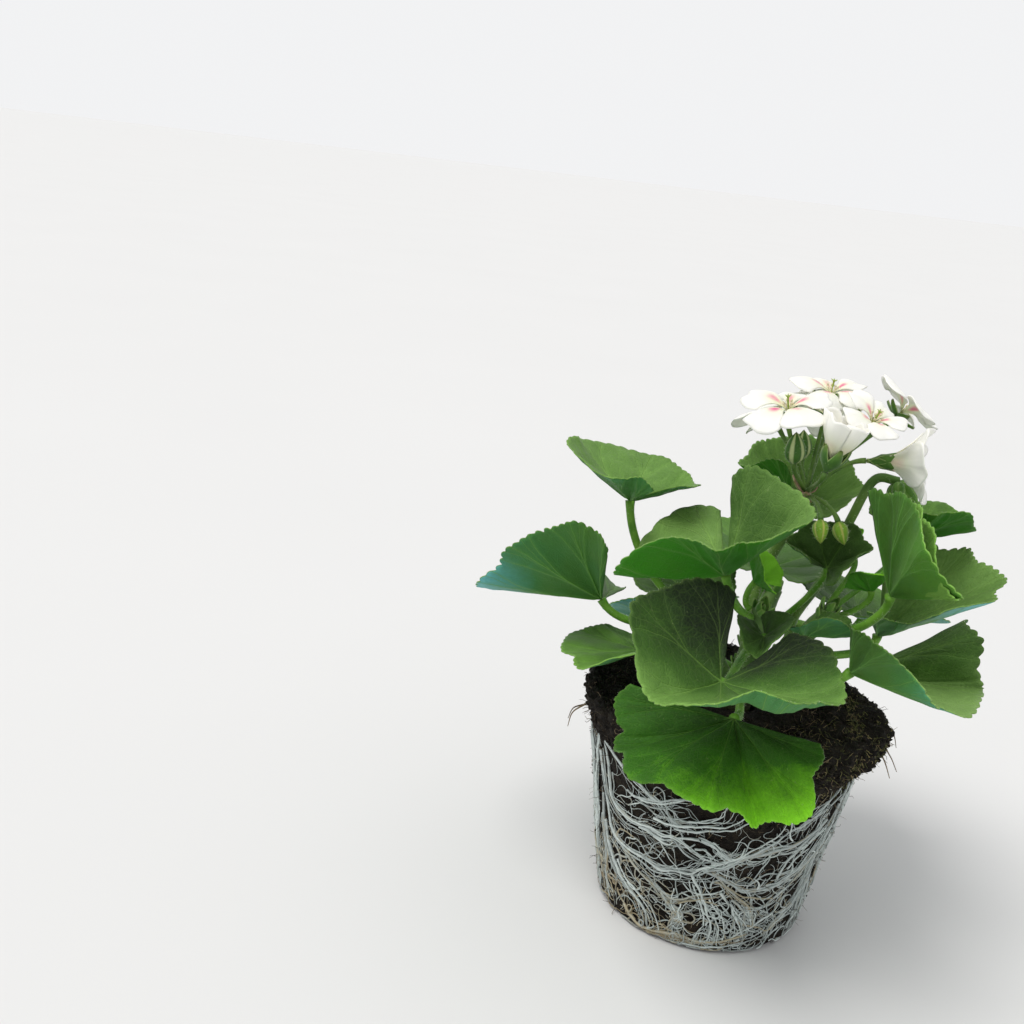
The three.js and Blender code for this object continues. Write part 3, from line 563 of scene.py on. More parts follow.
def leaf_underside():
    """Green to bluish green, with raised veins; painted light and shade scale its brightness, and the bluish
    green is partly painted sky reflection.
    """
    look, g, bsdf, _, veins, skin = leaf_material(
        "leaf underside", 60.0, Roughness=0.6, Sheen_Weight=0.04, Specular_IOR_Level=0.2)
    cool = g.plus(g.attribute("cool"), g.times(g.minus(skin["Blotch"], 0.5), 0.35))
    tint = g.add("ShaderNodeValToRGB", {0: cool})
    # From a bright green, partly painted glow of light through the blade, over green to a bluish green that
    # is partly painted sky reflection.
    set_ramp(tint, [(0, rgb(0.026, 0.175, 0.002)), (0.24, rgb(0.064, 0.17, 0.018)),
                    (0.5, rgb(0.05, 0.19, 0.05)), (1, rgb(0.12, 0.42, 0.42))])
    # Painted light and shade: the tone attribute scales the underside's brightness, set lighter on undersides
    # that lie in shade.
    light = g.scaled(g.attribute("tone"), 0.85, 0.52)
    base = g.mix(1.0, tint.outputs[0], light, "MULTIPLY")
    # Paler along the main veins: partly their own colour and partly painted highlight on the raised ridges.
    base = g.mix(g.times(veins["Halo"], 0.22), base, rgb(0.10, 0.28, 0.04))
    base = g.mix(g.times(veins["Net"], 0.16), base, rgb(0.07, 0.24, 0.05))
    base = g.mix(g.times(veins["Veins"], 0.75), base, rgb(0.14, 0.34, 0.06))
    height = g.plus(g.times(veins["Veins"], 1.3), g.times(veins["Net"], 0.3))
    height = g.plus(height, g.times(skin["Height"], 0.25))
    feed(g, bsdf, Base_Color=base, Normal=g.bump(height, 0.5, 0.0007))
    return look


def stalk_material(name, low, high, roughness=0.5):
    """Downy skin between two colours."""
    look, g, bsdf = material(name, Sheen_Weight=0.05, Specular_IOR_Level=0.3)
    place = g.place()
    skin = placed(g, SKIN, Place=place, Blotch_Scale=120.0)
    base = g.mix(g.step(skin["Blotch"], 0.3, 0.7), low, high)
    rough = g.scaled(skin["Height"], 0.15, roughness - 0.08)
    feed(g, bsdf, Base_Color=base, Roughness=rough, Normal=g.bump(skin["Height"], 0.2, 0.0004))
    return look


LEAF_UPPER = leaf_upper_side()
LEAF_UNDER = leaf_underside()
PETIOLE = stalk_material("leaf stalk", rgb(0.07, 0.22, 0.012), rgb(0.16, 0.36, 0.035))
DOWN, _, _ = material("down", Roughness=0.5, Base_Color=rgb(0.75, 0.85, 0.62))


# Shoots and stalks

SHOOTS = {
    "centre": ([CROWN, (4, -8, 122), (7, -12, 145)], 4.4),
    "right": ([CROWN, (18, -6, 124), (34, -13, 151)], 4.1),
    "left": ([CROWN, (-12, 3, 119), (-22, 7, 138)], 4.0),
    "rear": ([CROWN, (5, 14, 122), (11, 25, 144)], 4.1),
}
SHOOT_LINES = {name: (smooth_line(points), radius) for name, (points, radius) in SHOOTS.items()}


def start_on(shoot, share, towards, radius):
    """Where a stalk leaves its shoot, and its first direction."""
    line, thick = SHOOT_LINES[shoot]
    centre, axis = at_share(line, share)
    out = np.array(towards, float) - centre
    aside = unit(out - axis * (out @ axis))
    leave = unit(aside * STALK_ASIDE + axis * STALK_ALONG)
    return centre + aside * (thick + SEAT_GAP + radius * START_SLANT), leave


# Leaves

def open_rays(bearing, pitch, roll=0, cup=14):
    """The main veins of an open leaf: a fan about its midrib, cupped towards its upper side."""
    midrib = heading(bearing, pitch)
    left = turned(heading(bearing + 90, 0), midrib, math.radians(roll))
    upper = np.cross(midrib, left)
    rays = []
    for angle in range(-VEIN_END, VEIN_END + 1, VEIN_STEP):
        a = math.radians(angle)
        rise = math.radians(cup) * (0.35 + 0.65 * abs(math.sin(a)))
        spoke = midrib * math.cos(a) + left * math.sin(a)
        rays.append(spoke * math.cos(rise) + upper * math.sin(rise))
    return np.array(rays)


def vein_spline(angle, values):
    """A value that runs smoothly from vein to vein."""
    values = np.array(values, float)
    place = np.clip((np.asarray(angle, float) + VEIN_END) / VEIN_STEP, 0, len(values) - 1)
    i = np.clip(np.floor(place).astype(int), 0, len(values) - 2)
    s = place - i
    return values[i] + (values[i + 1] - values[i]) * s * s * (3 - 2 * s)


def ray_at(rays, angle):
    """The direction at an angle, on a smooth run from vein to vein."""
    place = (np.asarray(angle, float) + VEIN_END) / VEIN_STEP
    i = np.clip(np.floor(place).astype(int), 0, len(rays) - 2)
    padded = np.concatenate([[2 * rays[0] - rays[1]], rays, [2 * rays[-1] - rays[-2]]])
    a, b, c, d = (padded[i + k] for k in range(4))
    s = (place - i)[..., None]
    return unit(
        a * (-s + 2 * s**2 - s**3) / 2
        + b * (2 - 5 * s**2 + 3 * s**3) / 2
        + c * (s + 4 * s**2 - 3 * s**3) / 2
        + d * (-(s**2) + s**3) / 2
    )


def upper_at(rays, angle):
    """The direction of a blade's upper side at an angle."""
    angle = np.asarray(angle, float)
    return unit(np.cross(ray_at(rays, angle - 1), ray_at(rays, angle + 1)))


def blade_points(leaf, angle, out):
    """Points of a blade's middle sheet, measured from its hub."""
    rays, radius, seed = leaf["rays"], leaf["radius"], leaf["seed"]
    ray, upper = ray_at(rays, angle), upper_at(rays, angle)
    lobe = 2 * np.abs(np.cos(np.pi * angle / VEIN_STEP)) ** 0.7 - 1
    beat = np.cos(2 * np.pi * angle / VEIN_STEP)
    outline = 1 - BACK_SHORTENING * (np.abs(angle) / 180) ** 2.4
    phase = angle / (2 * BLADE_SPAN) * CRENATIONS + 0.35 * np.sin(np.radians(angle * 3 + 40 * seed))
    crenation = 2 * np.abs(np.cos(np.pi * phase)) ** 0.6 - 1
    rough = 0.014 * np.sin(np.radians(angle * 5.3 + 70 * seed))
    rough = rough + 0.01 * np.sin(np.radians(angle * 11 + 31 * seed))
    crenation *= 0.8 + 0.2 * np.sin(np.radians(angle * 7.7 + 50 * seed))
    rim = smoothstep(out, CRENATION_START, 1) * leaf.get("teeth", CRENATION_DEPTH) * crenation
    if "reach" in leaf:
        outline = outline * vein_spline(angle, leaf["reach"])
    for at, width, depth in leaf.get("notches", ()):
        outline = outline * (1 - depth * np.exp(-(((angle - at) / width) ** 2)) * smoothstep(out, 0.6, 1))
    reach = radius * outline * (1 + LOBE_DEPTH * (0.5 * lobe + 0.5 * beat) * out + rough * out + rim)
    curl = math.radians(leaf.get("curl", BLADE_CURL))
    bend = curl * out
    aside = np.abs(np.mod(angle + VEIN_STEP / 2, VEIN_STEP) - VEIN_STEP / 2)
    fork = np.abs(aside - FORK_SLANT * np.maximum(out - FORK_START, 0))
    to_length = np.radians(1) * out * radius
    gutter = np.exp(-((fork * to_length / FORK_WIDTH) ** 2)) * smoothstep(out, 0.3, 0.5)
    groove = np.exp(-((aside * to_length / MIDRIB_WIDTH) ** 2)) * (1 - 0.6 * out) * smoothstep(out, 0.02, 0.1)
    ripple = np.sin(np.radians(angle * 9 + 60 * seed)) * np.sin(out * 17 + seed) * out
    pleat = PLEAT_HEIGHT * out * (0.5 - 0.5 * beat)
    wave = leaf.get("ruffle", BLADE_RUFFLE) * out**3 * np.sin(np.radians(angle * WAVES_PER_TURN))
    lean = radius * (pleat + wave) + RIPPLE_HEIGHT * ripple - FORK_DEPTH * gutter - MIDRIB_DEPTH * groove
    for at, width, height, begins in leaf.get("folds", ()):
        lean = lean + height * np.exp(-(((angle - at) / width) ** 2)) * smoothstep(out, begins, 1)
    along = (reach / curl) * np.sin(bend) - lean * np.sin(bend)
    rise = (reach / curl) * (1 - np.cos(bend)) + lean * np.cos(bend)
    return ray * along[..., None] + upper * rise[..., None]


def petiole_line(leaf, radius, count=22):
    """A leaf's stalk, from its shoot to the blade's hub."""
    hub = np.array(leaf["hub"], float)
    start, leave = start_on(leaf["shoot"], leaf["share"], hub, radius)
    arrive = unit(upper_at(leaf["rays"], np.arange(-100, 101, VEIN_STEP)).sum(0))
    arrive = unit(arrive + ray_at(leaf["rays"], 0.0) * PETIOLE_LEAN)
    length = np.linalg.norm(start - hub)
    bowed_to = start + leave * length * PETIOLE_BOW
    arrive_from = hub - arrive * length * PETIOLE_ARRIVAL
    return bezier(start, bowed_to, arrive_from, hub, count)


# hub, radius, shoot and share place a leaf as in the solids, and veins, reach or open shape it.
# There leaf_high_left, leaf_front and leaf_low_front differ a little from the solids.
# curl is how far a leaf curves, in degrees, and ruffle how wavy its rim is.
# tone is how pale a leaf is from its hub through its middle to its rim, vein by vein where
# it differs: partly the leaf's own colour and partly painted light and shade, darker on lobes
# in shadow and lighter on shaded undersides and young leaves. lush is how yellow-green it is,
# and cool how blue its underside is, partly its own tint and partly painted sky reflection
# near the rims. folds turn a part of the rim up, notches cut into it, and teeth is how deep
# its small cuts are.
LEAVES = [
    dict(name="leaf_far_left", hub=(-62, -3, 134), radius=54.5, shoot="left", share=0.72,
         veins=[(90, -12), (120, 0), (150, -15), (-150, 5), (-135, 28), (-115, 50), (-90, 45)],
         tone=(0.5, 0.5, 0.6), lush=0.3,
         cool=(0.3, 0.4, (0.4, 0.6, 1.05, 1.0, 0.5, 0.36, 0.3))),
    dict(name="leaf_high_left", hub=(-56, 0, 180), radius=37, shoot="left", share=0.98, ruffle=0.09,
         veins=[(-25, 28), (35, 10), (85, 20), (150, 28), (-160, 32), (-100, 28), (-75, 22)],
         reach=[1, 0.85, 1, 1, 1, 1, 1],
         tone=(0.62, 0.76, 0.8), lush=0.2, cool=(0.3, 0.4, 0.5)),
    dict(name="leaf_upper_front", hub=(-10, -33, 165), radius=47, shoot="centre", share=0.95,
         veins=[(115, 20), (180, -15), (-130, 30), (-95, 25), (-68, 32), (-20, 47), (75, 70)],
         reach=[1.1, 1, 0.75, 1, 1.05, 1.05, 1.1],
         tone=(0.7, (0.85, 0.9, 0.8, 0.8, 0.75, 0.6, 0.5), (0.8, 0.95, 0.8, 0.8, 0.8, 0.8, 0.55)),
         lush=0.15,
         cool=(0, 0, 0)),
    dict(name="leaf_front", hub=(-4, -80, 139), radius=46, shoot="centre", share=0.62, curl=9,
         veins=[(108, 45), (180, 32), (-126, 0), (-88, 8), (-62, 8), (-28, 8), (35, 18)],
         reach=[1, 1, 0.87, 1.04, 1.17, 1.1, 1], folds=[(46, 52, 5.2, 0.8)],
         tone=(0.36, (-0.1, 0.2, 0.6, 0.6, 0.6, 0.7, -0.05), (-0.2, 0.2, 1.0, 0.95, 0.7, 0.8, -0.1)),
         lush=0.2,
         cool=(0.35, 0.4, 0.5)),
    dict(name="leaf_low_front", hub=(3, -68, 120), radius=47, shoot="centre", share=0.34,
         veins=[(175, -4), (-173, -28), (-138, -23), (-97, -27), (-68, -34), (-48, -18), (-27, -2)],
         reach=[1.15, 1.05, 1, 0.92, 0.95, 1.1, 0.95],
         notches=[(-122, 4, 0.07), (-32, 5, 0.06), (14, 5, 0.06)], teeth=0.012,
         tone=(0.06, (0.24, 0.3, 0.4, 0.5, 0.64, 0.5, 0.25), (0.4, 0.45, 0.5, 0.7, 0.95, 0.95, 0.4)),
         lush=1.0,
         cool=(0.4, 0.6, 0.8)),
    dict(name="leaf_low_left", hub=(-40, -20, 121), radius=33, shoot="left", share=0.38,
         veins=[(70, -20), (120, -10), (145, -10), (-155, -6), (-122, -4), (-86, 18), (-50, 14)],
         reach=[1, 1, 1.1, 1, 1.1, 1, 1],
         tone=(0.6, 0.66, (0.65, 0.65, 0.7, 0.75, 0.9, 0.95, 0.75)), lush=0.3, cool=(0.3, 0.4, 0.5)),
    dict(name="leaf_upper_rear", hub=(15, 39, 178), radius=34, shoot="rear", share=0.96,
         veins=[(-60, 12), (0, 28), (38, 45), (95, 60), (150, 45), (-165, 30), (-130, 48)],
         reach=[0.93, 0.93, 0.93, 1, 1.04, 1.04, 1.04],
         tone=(0.6, 0.7, (0.8, 0.85, 0.8, 0.7, 0.65, 0.7, 0.7)), lush=0.2, cool=(0.05, 0.05, 0.1)),
    dict(name="leaf_under_buds", hub=(30, -5, 167), radius=21, shoot="rear", share=0.55,
         veins=[(-82, -4), (-55, 26), (-20, 36), (0, 70), (-178, 65), (-175, 24), (-130, 20)],
         tone=(0.32, 0.36, 0.4), lush=0.1, cool=(0.3, 0.35, 0.4)),
    dict(name="leaf_upright_right", hub=(54, -31, 168), radius=50, shoot="right", share=0.92,
         veins=[(-172, 68), (-113, 66), (-87, 38), (-62, 18), (-67, 52), (0, 85), (110, 70)],
         reach=[1, 1, 1, 0.87, 0.83, 0.8, 0.92],
         tone=(0.42, (0.4, 0.5, 1.1, 1.2, 1.2, 0.9, 0.7), (0.42, 0.5, 1.2, 1.3, 1.3, 1.0, 0.8)), lush=0.3,
         cool=(0.24, 0.24, (0.22, 0.22, 0.22, 0.24, 0.26, 0.26, 0.26))),
    dict(name="leaf_high_right", hub=(64, 32, 176), radius=26, shoot="right", share=0.96, ruffle=0.06,
         veins=[(-105, 50), (-70, 35), (-30, 36), (5, 13), (63, 25), (115, 20), (147, 15)],
         reach=[1, 1, 1.08, 1.03, 1, 1, 1],
         tone=(0.5, 0.6, 0.65), lush=0.3, cool=(0, 0, 0.1)),
    dict(name="leaf_far_right", hub=(57, 11, 136), radius=53, shoot="right", share=0.5,
         veins=[(-100, 32), (-78, 24), (-20, 32), (5, 35), (37, 41), (65, 50), (82, 32)],
         reach=[0.75, 0.85, 0.95, 1.05, 1, 0.95, 1],
         tone=(0.5, 0.7, 0.8), lush=0.15, cool=(0.3, 0.45, (0.3, 0.5, 1.05, 1.05, 0.8, 0.6, 0.5))),
    dict(name="leaf_low_right", hub=(44, -43, 138), radius=51, shoot="right", share=0.3,
         veins=[(-100, 44), (-84, 30), (-63, 12), (-44, 4), (4, 0), (5, 28), (26, 20)],
         reach=[0.9, 0.95, 1, 1, 0.95, 1, 1.15],
         tone=(0.5, (0.4, 0.6, 0.9, 0.9, 0.68, 0.3, 0.25), (0.4, 0.6, 1, 1, 0.78, 0.35, 0.25)), lush=0.1,
         cool=(0.2, 0.26, (0.25, 0.3, 0.62, 0.72, 0.5, 0.4, 0.4))),
    dict(name="leaf_inner_front", hub=(9, -46, 147), radius=14, shoot="centre", share=0.7, ruffle=0.1,
         veins=[(125, 15), (-175, 25), (-120, -3), (-90, -15), (-45, 30), (23, 45), (90, 25)],
         tone=(0.25, 0.3, (0.3, 0.35, 0.5, 0.6, 0.5, 0.4, 0.3)), lush=0.2, cool=(0.3, 0.4, 0.5)),
    dict(name="leaf_inner_right", hub=(25, -35, 147), radius=21, shoot="right", share=0.42,
         veins=[(-150, 20), (-105, 26), (-60, 38), (-22, 15), (20, 0), (35, 15), (63, 15)],
         reach=[0.5, 0.7, 1, 1, 1, 1, 1],
         tone=(0.4, 0.45, 0.5), lush=0.15, cool=(0.36, 0.42, 0.52)),
    dict(name="leaf_rear_left", hub=(-30, 40, 131), radius=28, shoot="left", share=0.86,
         open=dict(bearing=135, pitch=6, roll=-8), tone=(0.4, 0.6), lush=0.2, cool=(0.3, 0.6)),
    dict(name="leaf_rear", hub=(8, 62, 142), radius=41, shoot="rear", share=0.42,
         open=dict(bearing=88, pitch=2), tone=(0.38, 0.6), lush=0.3, cool=(0.3, 0.6)),
    dict(name="leaf_rear_right", hub=(54, 57, 127), radius=38, shoot="rear", share=0.74,
         open=dict(bearing=50, pitch=-10), tone=(0.4, 0.62), lush=0.3, cool=(0.4, 0.8)),
    dict(name="leaf_low_rear", hub=(-32, 56, 108), radius=36, shoot="rear", share=0.24,
         open=dict(bearing=122, pitch=-30), tone=(0.3, 0.65), lush=0.7, cool=(0.4, 0.8)),
    dict(name="young_leaf_right", hub=(49, -7, 161), radius=12, shoot="right", share=0.93, young=True,
         open=dict(bearing=-40, pitch=40, cup=40), ruffle=0.12, span=140,
         tone=(1.0, 1.4), lush=0.9, cool=(0, 0.1)),
    dict(name="young_leaf_right_tip", hub=(40, 13, 170), radius=11, shoot="right", share=0.99, young=True,
         open=dict(bearing=10, pitch=62, cup=40), ruffle=0.12, span=130,
         tone=(1.0, 1.4), lush=0.9, cool=(0, 0.1)),
    dict(name="young_leaf_centre", hub=(2, -14, 158), radius=14, shoot="centre", share=0.99, young=True,
         open=dict(bearing=170, pitch=56, cup=40), ruffle=0.12, span=130,
         tone=(0.8, 1.1), lush=0.8, cool=(0, 0.1)),
    dict(name="young_leaf_left", hub=(-26, 0, 150), radius=12, shoot="left", share=0.99, young=True,
         open=dict(bearing=-70, pitch=50, cup=40), ruffle=0.12, span=130,
         tone=(0.8, 1.1), lush=0.8, cool=(0, 0.1)),
]

hair_places = []
draws = np.random.default_rng(17)


def add_hairs(points, outward, count, length, thickness=0.035):
    """Short hairs that stand on given points, along their outward directions and a little astray."""
    picks = draws.integers(0, len(points), count)
    for i in picks:
        direction = unit(outward[i] + draws.normal(0, 0.35, 3))
        size = length * draws.uniform(0.6, 1.3)
        turn = facing_turn(direction) * np.array([thickness, thickness, size])
        hair_places.append(np.column_stack([turn, points[i]]))


def stalk_hairs(line, radius, count, length):
    """Hairs all round a stalk."""
    at = draws.uniform(0.03, 0.97, count)
    spots, aways = [], []
    for share in at:
        point, axis = at_share(line, share)
        away = unit(np.cross(axis, draws.normal(0, 1, 3)))
        spots.append(point + away * radius * 0.95)
        aways.append(away)
    add_hairs(np.array(spots), np.array(aways), count, length)


def make_leaf(leaf):
    """A blade with its stalk, and the hairs on both."""
    rays = open_rays(**leaf["open"]) if "open" in leaf else heading(*np.array(leaf["veins"], float).T)
    leaf["rays"], leaf["seed"] = rays, sum(map(ord, leaf["name"])) % 17
    hub, span = np.array(leaf["hub"], float), leaf.get("span", BLADE_SPAN)
    large = leaf["radius"] > LARGE_BLADE

    def place(u, v):
        return hub + blade_points(leaf, (2 * u - 1) * span, v)

    def shade(levels, u, v):
        """A value that runs through its levels from hub to rim, vein by vein."""
        rings = [vein_spline((2 * u - 1) * span, np.broadcast_to(level, 7)) for level in levels]
        at = v * (len(rings) - 1)
        return sum(ring * np.clip(1 - np.abs(at - k), 0, 1) for k, ring in enumerate(rings))

    across, along = LARGE_GRID if large else SMALL_GRID
    blade = surface(
        leaf["name"], place, across, along, BLADE_THICKNESS, looks=(LEAF_UNDER, LEAF_UPPER),
        attributes={
            "tone": lambda u, v: shade(leaf["tone"], u, v),
            "lush": lambda u, v: leaf["lush"] + 0 * u,
            "cool": lambda u, v: shade(leaf["cool"], u, v),
        },
    )
    if span != BLADE_SPAN:
        layer = blade.data.uv_layers[0].data
        flat = np.empty(len(layer) * 2)
        layer.foreach_get("uv", flat)
        flat[0::2] = 0.5 + (flat[0::2] - 0.5) * span / BLADE_SPAN
        layer.foreach_set("uv", flat)
    radius = PETIOLE_RADIUS if large else THIN_PETIOLE_RADIUS
    line = petiole_line(leaf, radius)
    run = np.linspace(0, 1, len(line))
    swell = 1 + 0.25 * np.exp(-((run / 0.06) ** 2)) + 0.25 * np.exp(-(((1 - run) / 0.05) ** 2))
    petiole = clothe(tubes(leaf["name"] + "_stalk", [(line, radius * STALK_SHARE * swell)], 12), PETIOLE)
    ob = joined(leaf["name"], [blade, petiole])
    enrol(ob, "young_leaf" if leaf.get("young") else "leaf", leaf["name"])
    stalk_hairs(line, radius * STALK_SHARE, int(HAIRS_PER_MM * np.linalg.norm(line[0] - line[-1])), 1.0)
    angles = np.linspace(-span, span, RIM_STEPS)
    rim, inner = (place((angles / span + 1) / 2, np.full(RIM_STEPS, out)) for out in (0.995, 0.9))
    add_hairs(rim, unit(rim - inner), int(leaf["radius"] * HAIRS_PER_MM), 0.8)


for leaf in LEAVES:
    make_leaf(leaf)


# Root ball

MOSS_START_RADIUS = 59
MOSS_FULL_RADIUS = 61.5
HOLE_FLOOR = 78
HOLE_EDGE = 9.4
SIDE_RUN = 80.0
TOP_RUN = 150.0
TOP_FIBRES = 1500
SIDE_FIBRES = 1100
CRUMBS = 2600
TOP_CRUMB_SHARE = 0.72
MOSS_WISPS = 2900
FRONT_WISPS = 420

# Radius, height, roughness and how far each level is drawn to the stock, which stands
# a little off the middle.
BALL_LEVELS = [
    (0, 0, 0, 0), (43.9, 0, 0.25, 0), (45.6, 1.6, 0.7, 0), (49.2, 24, 0.8, 0), (54, 54, 0.9, 0),
    (58.2, 80, 1.2, 0), (60, 86, 2.4, 0), (62.2, 92, 3.2, 0), (63, 96.5, 3.2, 0), (60.5, 100, 3.0, 0),
    (52, 99.5, 2.2, 0), (34, 98.5, 2.2, 0.2), (18, 98.5, 1.4, 0.8), (9.6, 98, 0.3, 1),
    (9.3, HOLE_FLOOR, 0, 1), (0, 77.7, 0, 1),
]
# The levels that fibres, crumbs and moss are laid on, from the foot's edge to the top.
SIDE_FOOT = 2
TOP_MIDDLE = 12


def ball_side(height):
    share = np.clip(np.asarray(height, float) / BALL_SHOULDER_HEIGHT, 0, 1)
    return BALL_BASE_RADIUS + (BALL_SHOULDER_RADIUS - BALL_BASE_RADIUS) * share


def moss_share(bearing):
    """How mossy the rim is, from 0 to 1."""
    return np.exp(-((bearing_gap(bearing, MOSS_BEARING) / MOSS_WIDTH) ** 2))


def moss_reach(bearing, radius):
    """How far the moss stands out where the ball has a radius."""
    return MOSS_REACH * moss_share(bearing) * smoothstep(radius, MOSS_START_RADIUS, MOSS_FULL_RADIUS)


def lumps(points, size, octaves=4):
    """Rough noise at points in mm."""
    return np.array([noise.fractal(Vector(p) / size, 0.7, 2.1, octaves) for p in points])


def ball_points(u, v):
    """Points of the ball's rough skin."""
    levels = np.array(BALL_LEVELS, float)
    steps = np.hypot(*np.diff(levels[:, :2], axis=0).T) + 6
    run = np.concatenate([[0], np.cumsum(steps)]) / steps.sum()
    radius, height, rough, drawn = (np.interp(v, run, levels[:, k]) for k in range(4))
    bearing = u * 360
    b = np.radians(bearing)
    middle = np.stack([CROWN[0] * drawn, CROWN[1] * drawn, 0 * drawn], -1)
    out = np.stack([np.cos(b), np.sin(b), 0 * b], -1)
    raised = np.stack([0 * b, 0 * b, height], -1)
    flat = middle + out * (radius + moss_reach(bearing, radius))[:, None] + raised
    coarse, fine = lumps(flat, 7.0), lumps(flat * (1, 1, 1.4), 1.6, 3)
    swell = rough * (1 + 0.5 * moss_share(bearing)) * (0.75 * coarse + 0.42 * fine)
    upward = smoothstep(height, 90, 99) * (1 - smoothstep(radius, 56, 66) * 0.5) * (radius > HOLE_EDGE)
    ground = height > 0.5
    moved = flat + out * (swell * (1 - 0.7 * upward) - 0.5 * (height < BALL_SHOULDER_HEIGHT) * rough)[:, None]
    moved[:, 2] += np.where(ground, swell * upward, 0)
    moved[:, 2] = np.maximum(moved[:, 2], 0)
    return moved


def peat_material(name, dark, light, pale):
    """Clods and crumbs with pale fibres and grit in them, and pale patches of painted light."""
    look, g, bsdf = material(name, Roughness=0.9, Specular_IOR_Level=0.25)
    place = g.place()
    clods = g.noise(place, 260.0, 6.0, 0.7)
    crumbs = g.cracks(place, 620.0)
    grit = g.noise(place, 1500.0, 3.0, 0.7)
    streak = g.add("ShaderNodeMapping", {0: place, 3: (500.0, 500.0, 2200.0)})
    fibre = g.step(g.noise(streak.outputs[0], 1.0, 2.0, 0.6, 1.4), 0.56, 0.66)
    base = g.mix(g.step(clods, 0.35, 0.75), dark, light)
    # Pale patches at random: painted light, standing in for sunlit spots on the crumbly top.
    base = g.mix(g.step(g.noise(place, 70.0, 3.0, 0.65), 0.5, 0.72, 0.0, 0.22), base, pale)
    base = g.mix(g.times(fibre, 0.35), base, pale)
    base = g.mix(g.step(grit, 0.68, 0.78, 0.0, 0.5), base, pale)
    height = g.plus(g.times(crumbs, 1.6), g.plus(clods, g.times(grit, 0.6)))
    height = g.plus(height, g.times(fibre, 0.3))
    feed(g, bsdf, Base_Color=base, Normal=g.bump(height, 0.9, 0.0012))
    return look


def shaded_material(name, stops, roughness, grain=900.0, **shader):
    """A material coloured along a ramp by each strand's own shade."""
    look, g, bsdf = material(name, Roughness=roughness, **shader)
    place = g.place()
    patch = g.noise(place, grain, 3.0, 0.6)
    tone = g.plus(g.attribute("shade"), g.scaled(patch, 0.6, -0.3))
    ramp = g.add("ShaderNodeValToRGB", {0: tone})
    set_ramp(ramp, stops)
    feed(g, bsdf, Base_Color=ramp.outputs[0], Normal=g.bump(patch, 0.35, 0.0003))
    return look


# Near-black colours: partly the peat's own colour and partly painted shade, for the deep shade under the
# leaves and between the roots.
PEAT = peat_material("peat", rgb(0.004, 0.003, 0.002), rgb(0.022, 0.017, 0.011), rgb(0.10, 0.075, 0.045))
ROOT = shaded_material(
    "roots",
    [(0.0, rgb(0.22, 0.16, 0.08)), (0.35, rgb(0.38, 0.34, 0.23)), (0.65, rgb(0.36, 0.41, 0.40)),
     (1.0, rgb(0.64, 0.71, 0.68))],
    0.42, 420.0, Specular_IOR_Level=0.5,
)
MOSS = shaded_material(
    "moss",
    [(0.0, rgb(0.03, 0.025, 0.011)), (0.35, rgb(0.06, 0.07, 0.018)), (0.65, rgb(0.14, 0.14, 0.04)),
     (1.0, rgb(0.34, 0.26, 0.13))],
    0.8,
)
LITTER = shaded_material(
    "peat fibres",
    [(0.0, rgb(0.012, 0.009, 0.006)), (0.5, rgb(0.085, 0.06, 0.032)), (1.0, rgb(0.27, 0.20, 0.12))],
    0.85,
)


def ball_spot(bearing, level):
    """A place on the ball's rough skin: level counts in mm up the side and on over the rim."""
    levels = np.array(BALL_LEVELS[SIDE_FOOT:TOP_MIDDLE], float)
    run = np.concatenate([[0], np.cumsum(np.hypot(*np.diff(levels[:, :2], axis=0).T))])
    radius, height = np.interp(level, run, levels[:, 0]), np.interp(level, run, levels[:, 1])
    radius = radius + moss_reach(bearing, radius)
    b = np.radians(bearing)
    return np.stack([radius * np.cos(b), radius * np.sin(b), height], -1)


def wisps(rng, count, level_of, bearing_of, length, radius, rise=0.5, wander=0.45, lie=0.0, shade_of=None):
    """Short bent fibres that stand or lie on the ball's skin."""
    lines, shades = [], []
    for _ in range(count):
        bearing, level = bearing_of(), level_of()
        at = ball_spot(bearing, level)
        normal = unit(at * (1, 1, 0)) if level < SIDE_RUN + 14 else unit(at * (1, 1, 0) * 0.4 + (0, 0, 40))
        heading_now = unit(normal * rise + rng.normal(0, 0.7, 3))
        steps = int(rng.integers(4, 7))
        size = length * rng.uniform(0.5, 1.4) / steps
        points = [at - normal * 0.6]
        for _ in range(steps):
            heading_now = unit(heading_now + rng.normal(0, wander, 3))
            heading_now = unit(heading_now - lie * (heading_now @ normal) * normal)
            points.append(points[-1] + heading_now * size)
        points = np.array(points)
        points[:, 2] = np.maximum(points[:, 2], 0.4)
        taper = np.linspace(1, 0.45, len(points))
        lines.append((points, radius * rng.uniform(0.6, 1.4) * taper))
        shades.append(shade_of() if shade_of else rng.uniform(0, 1))
    return lines, shades


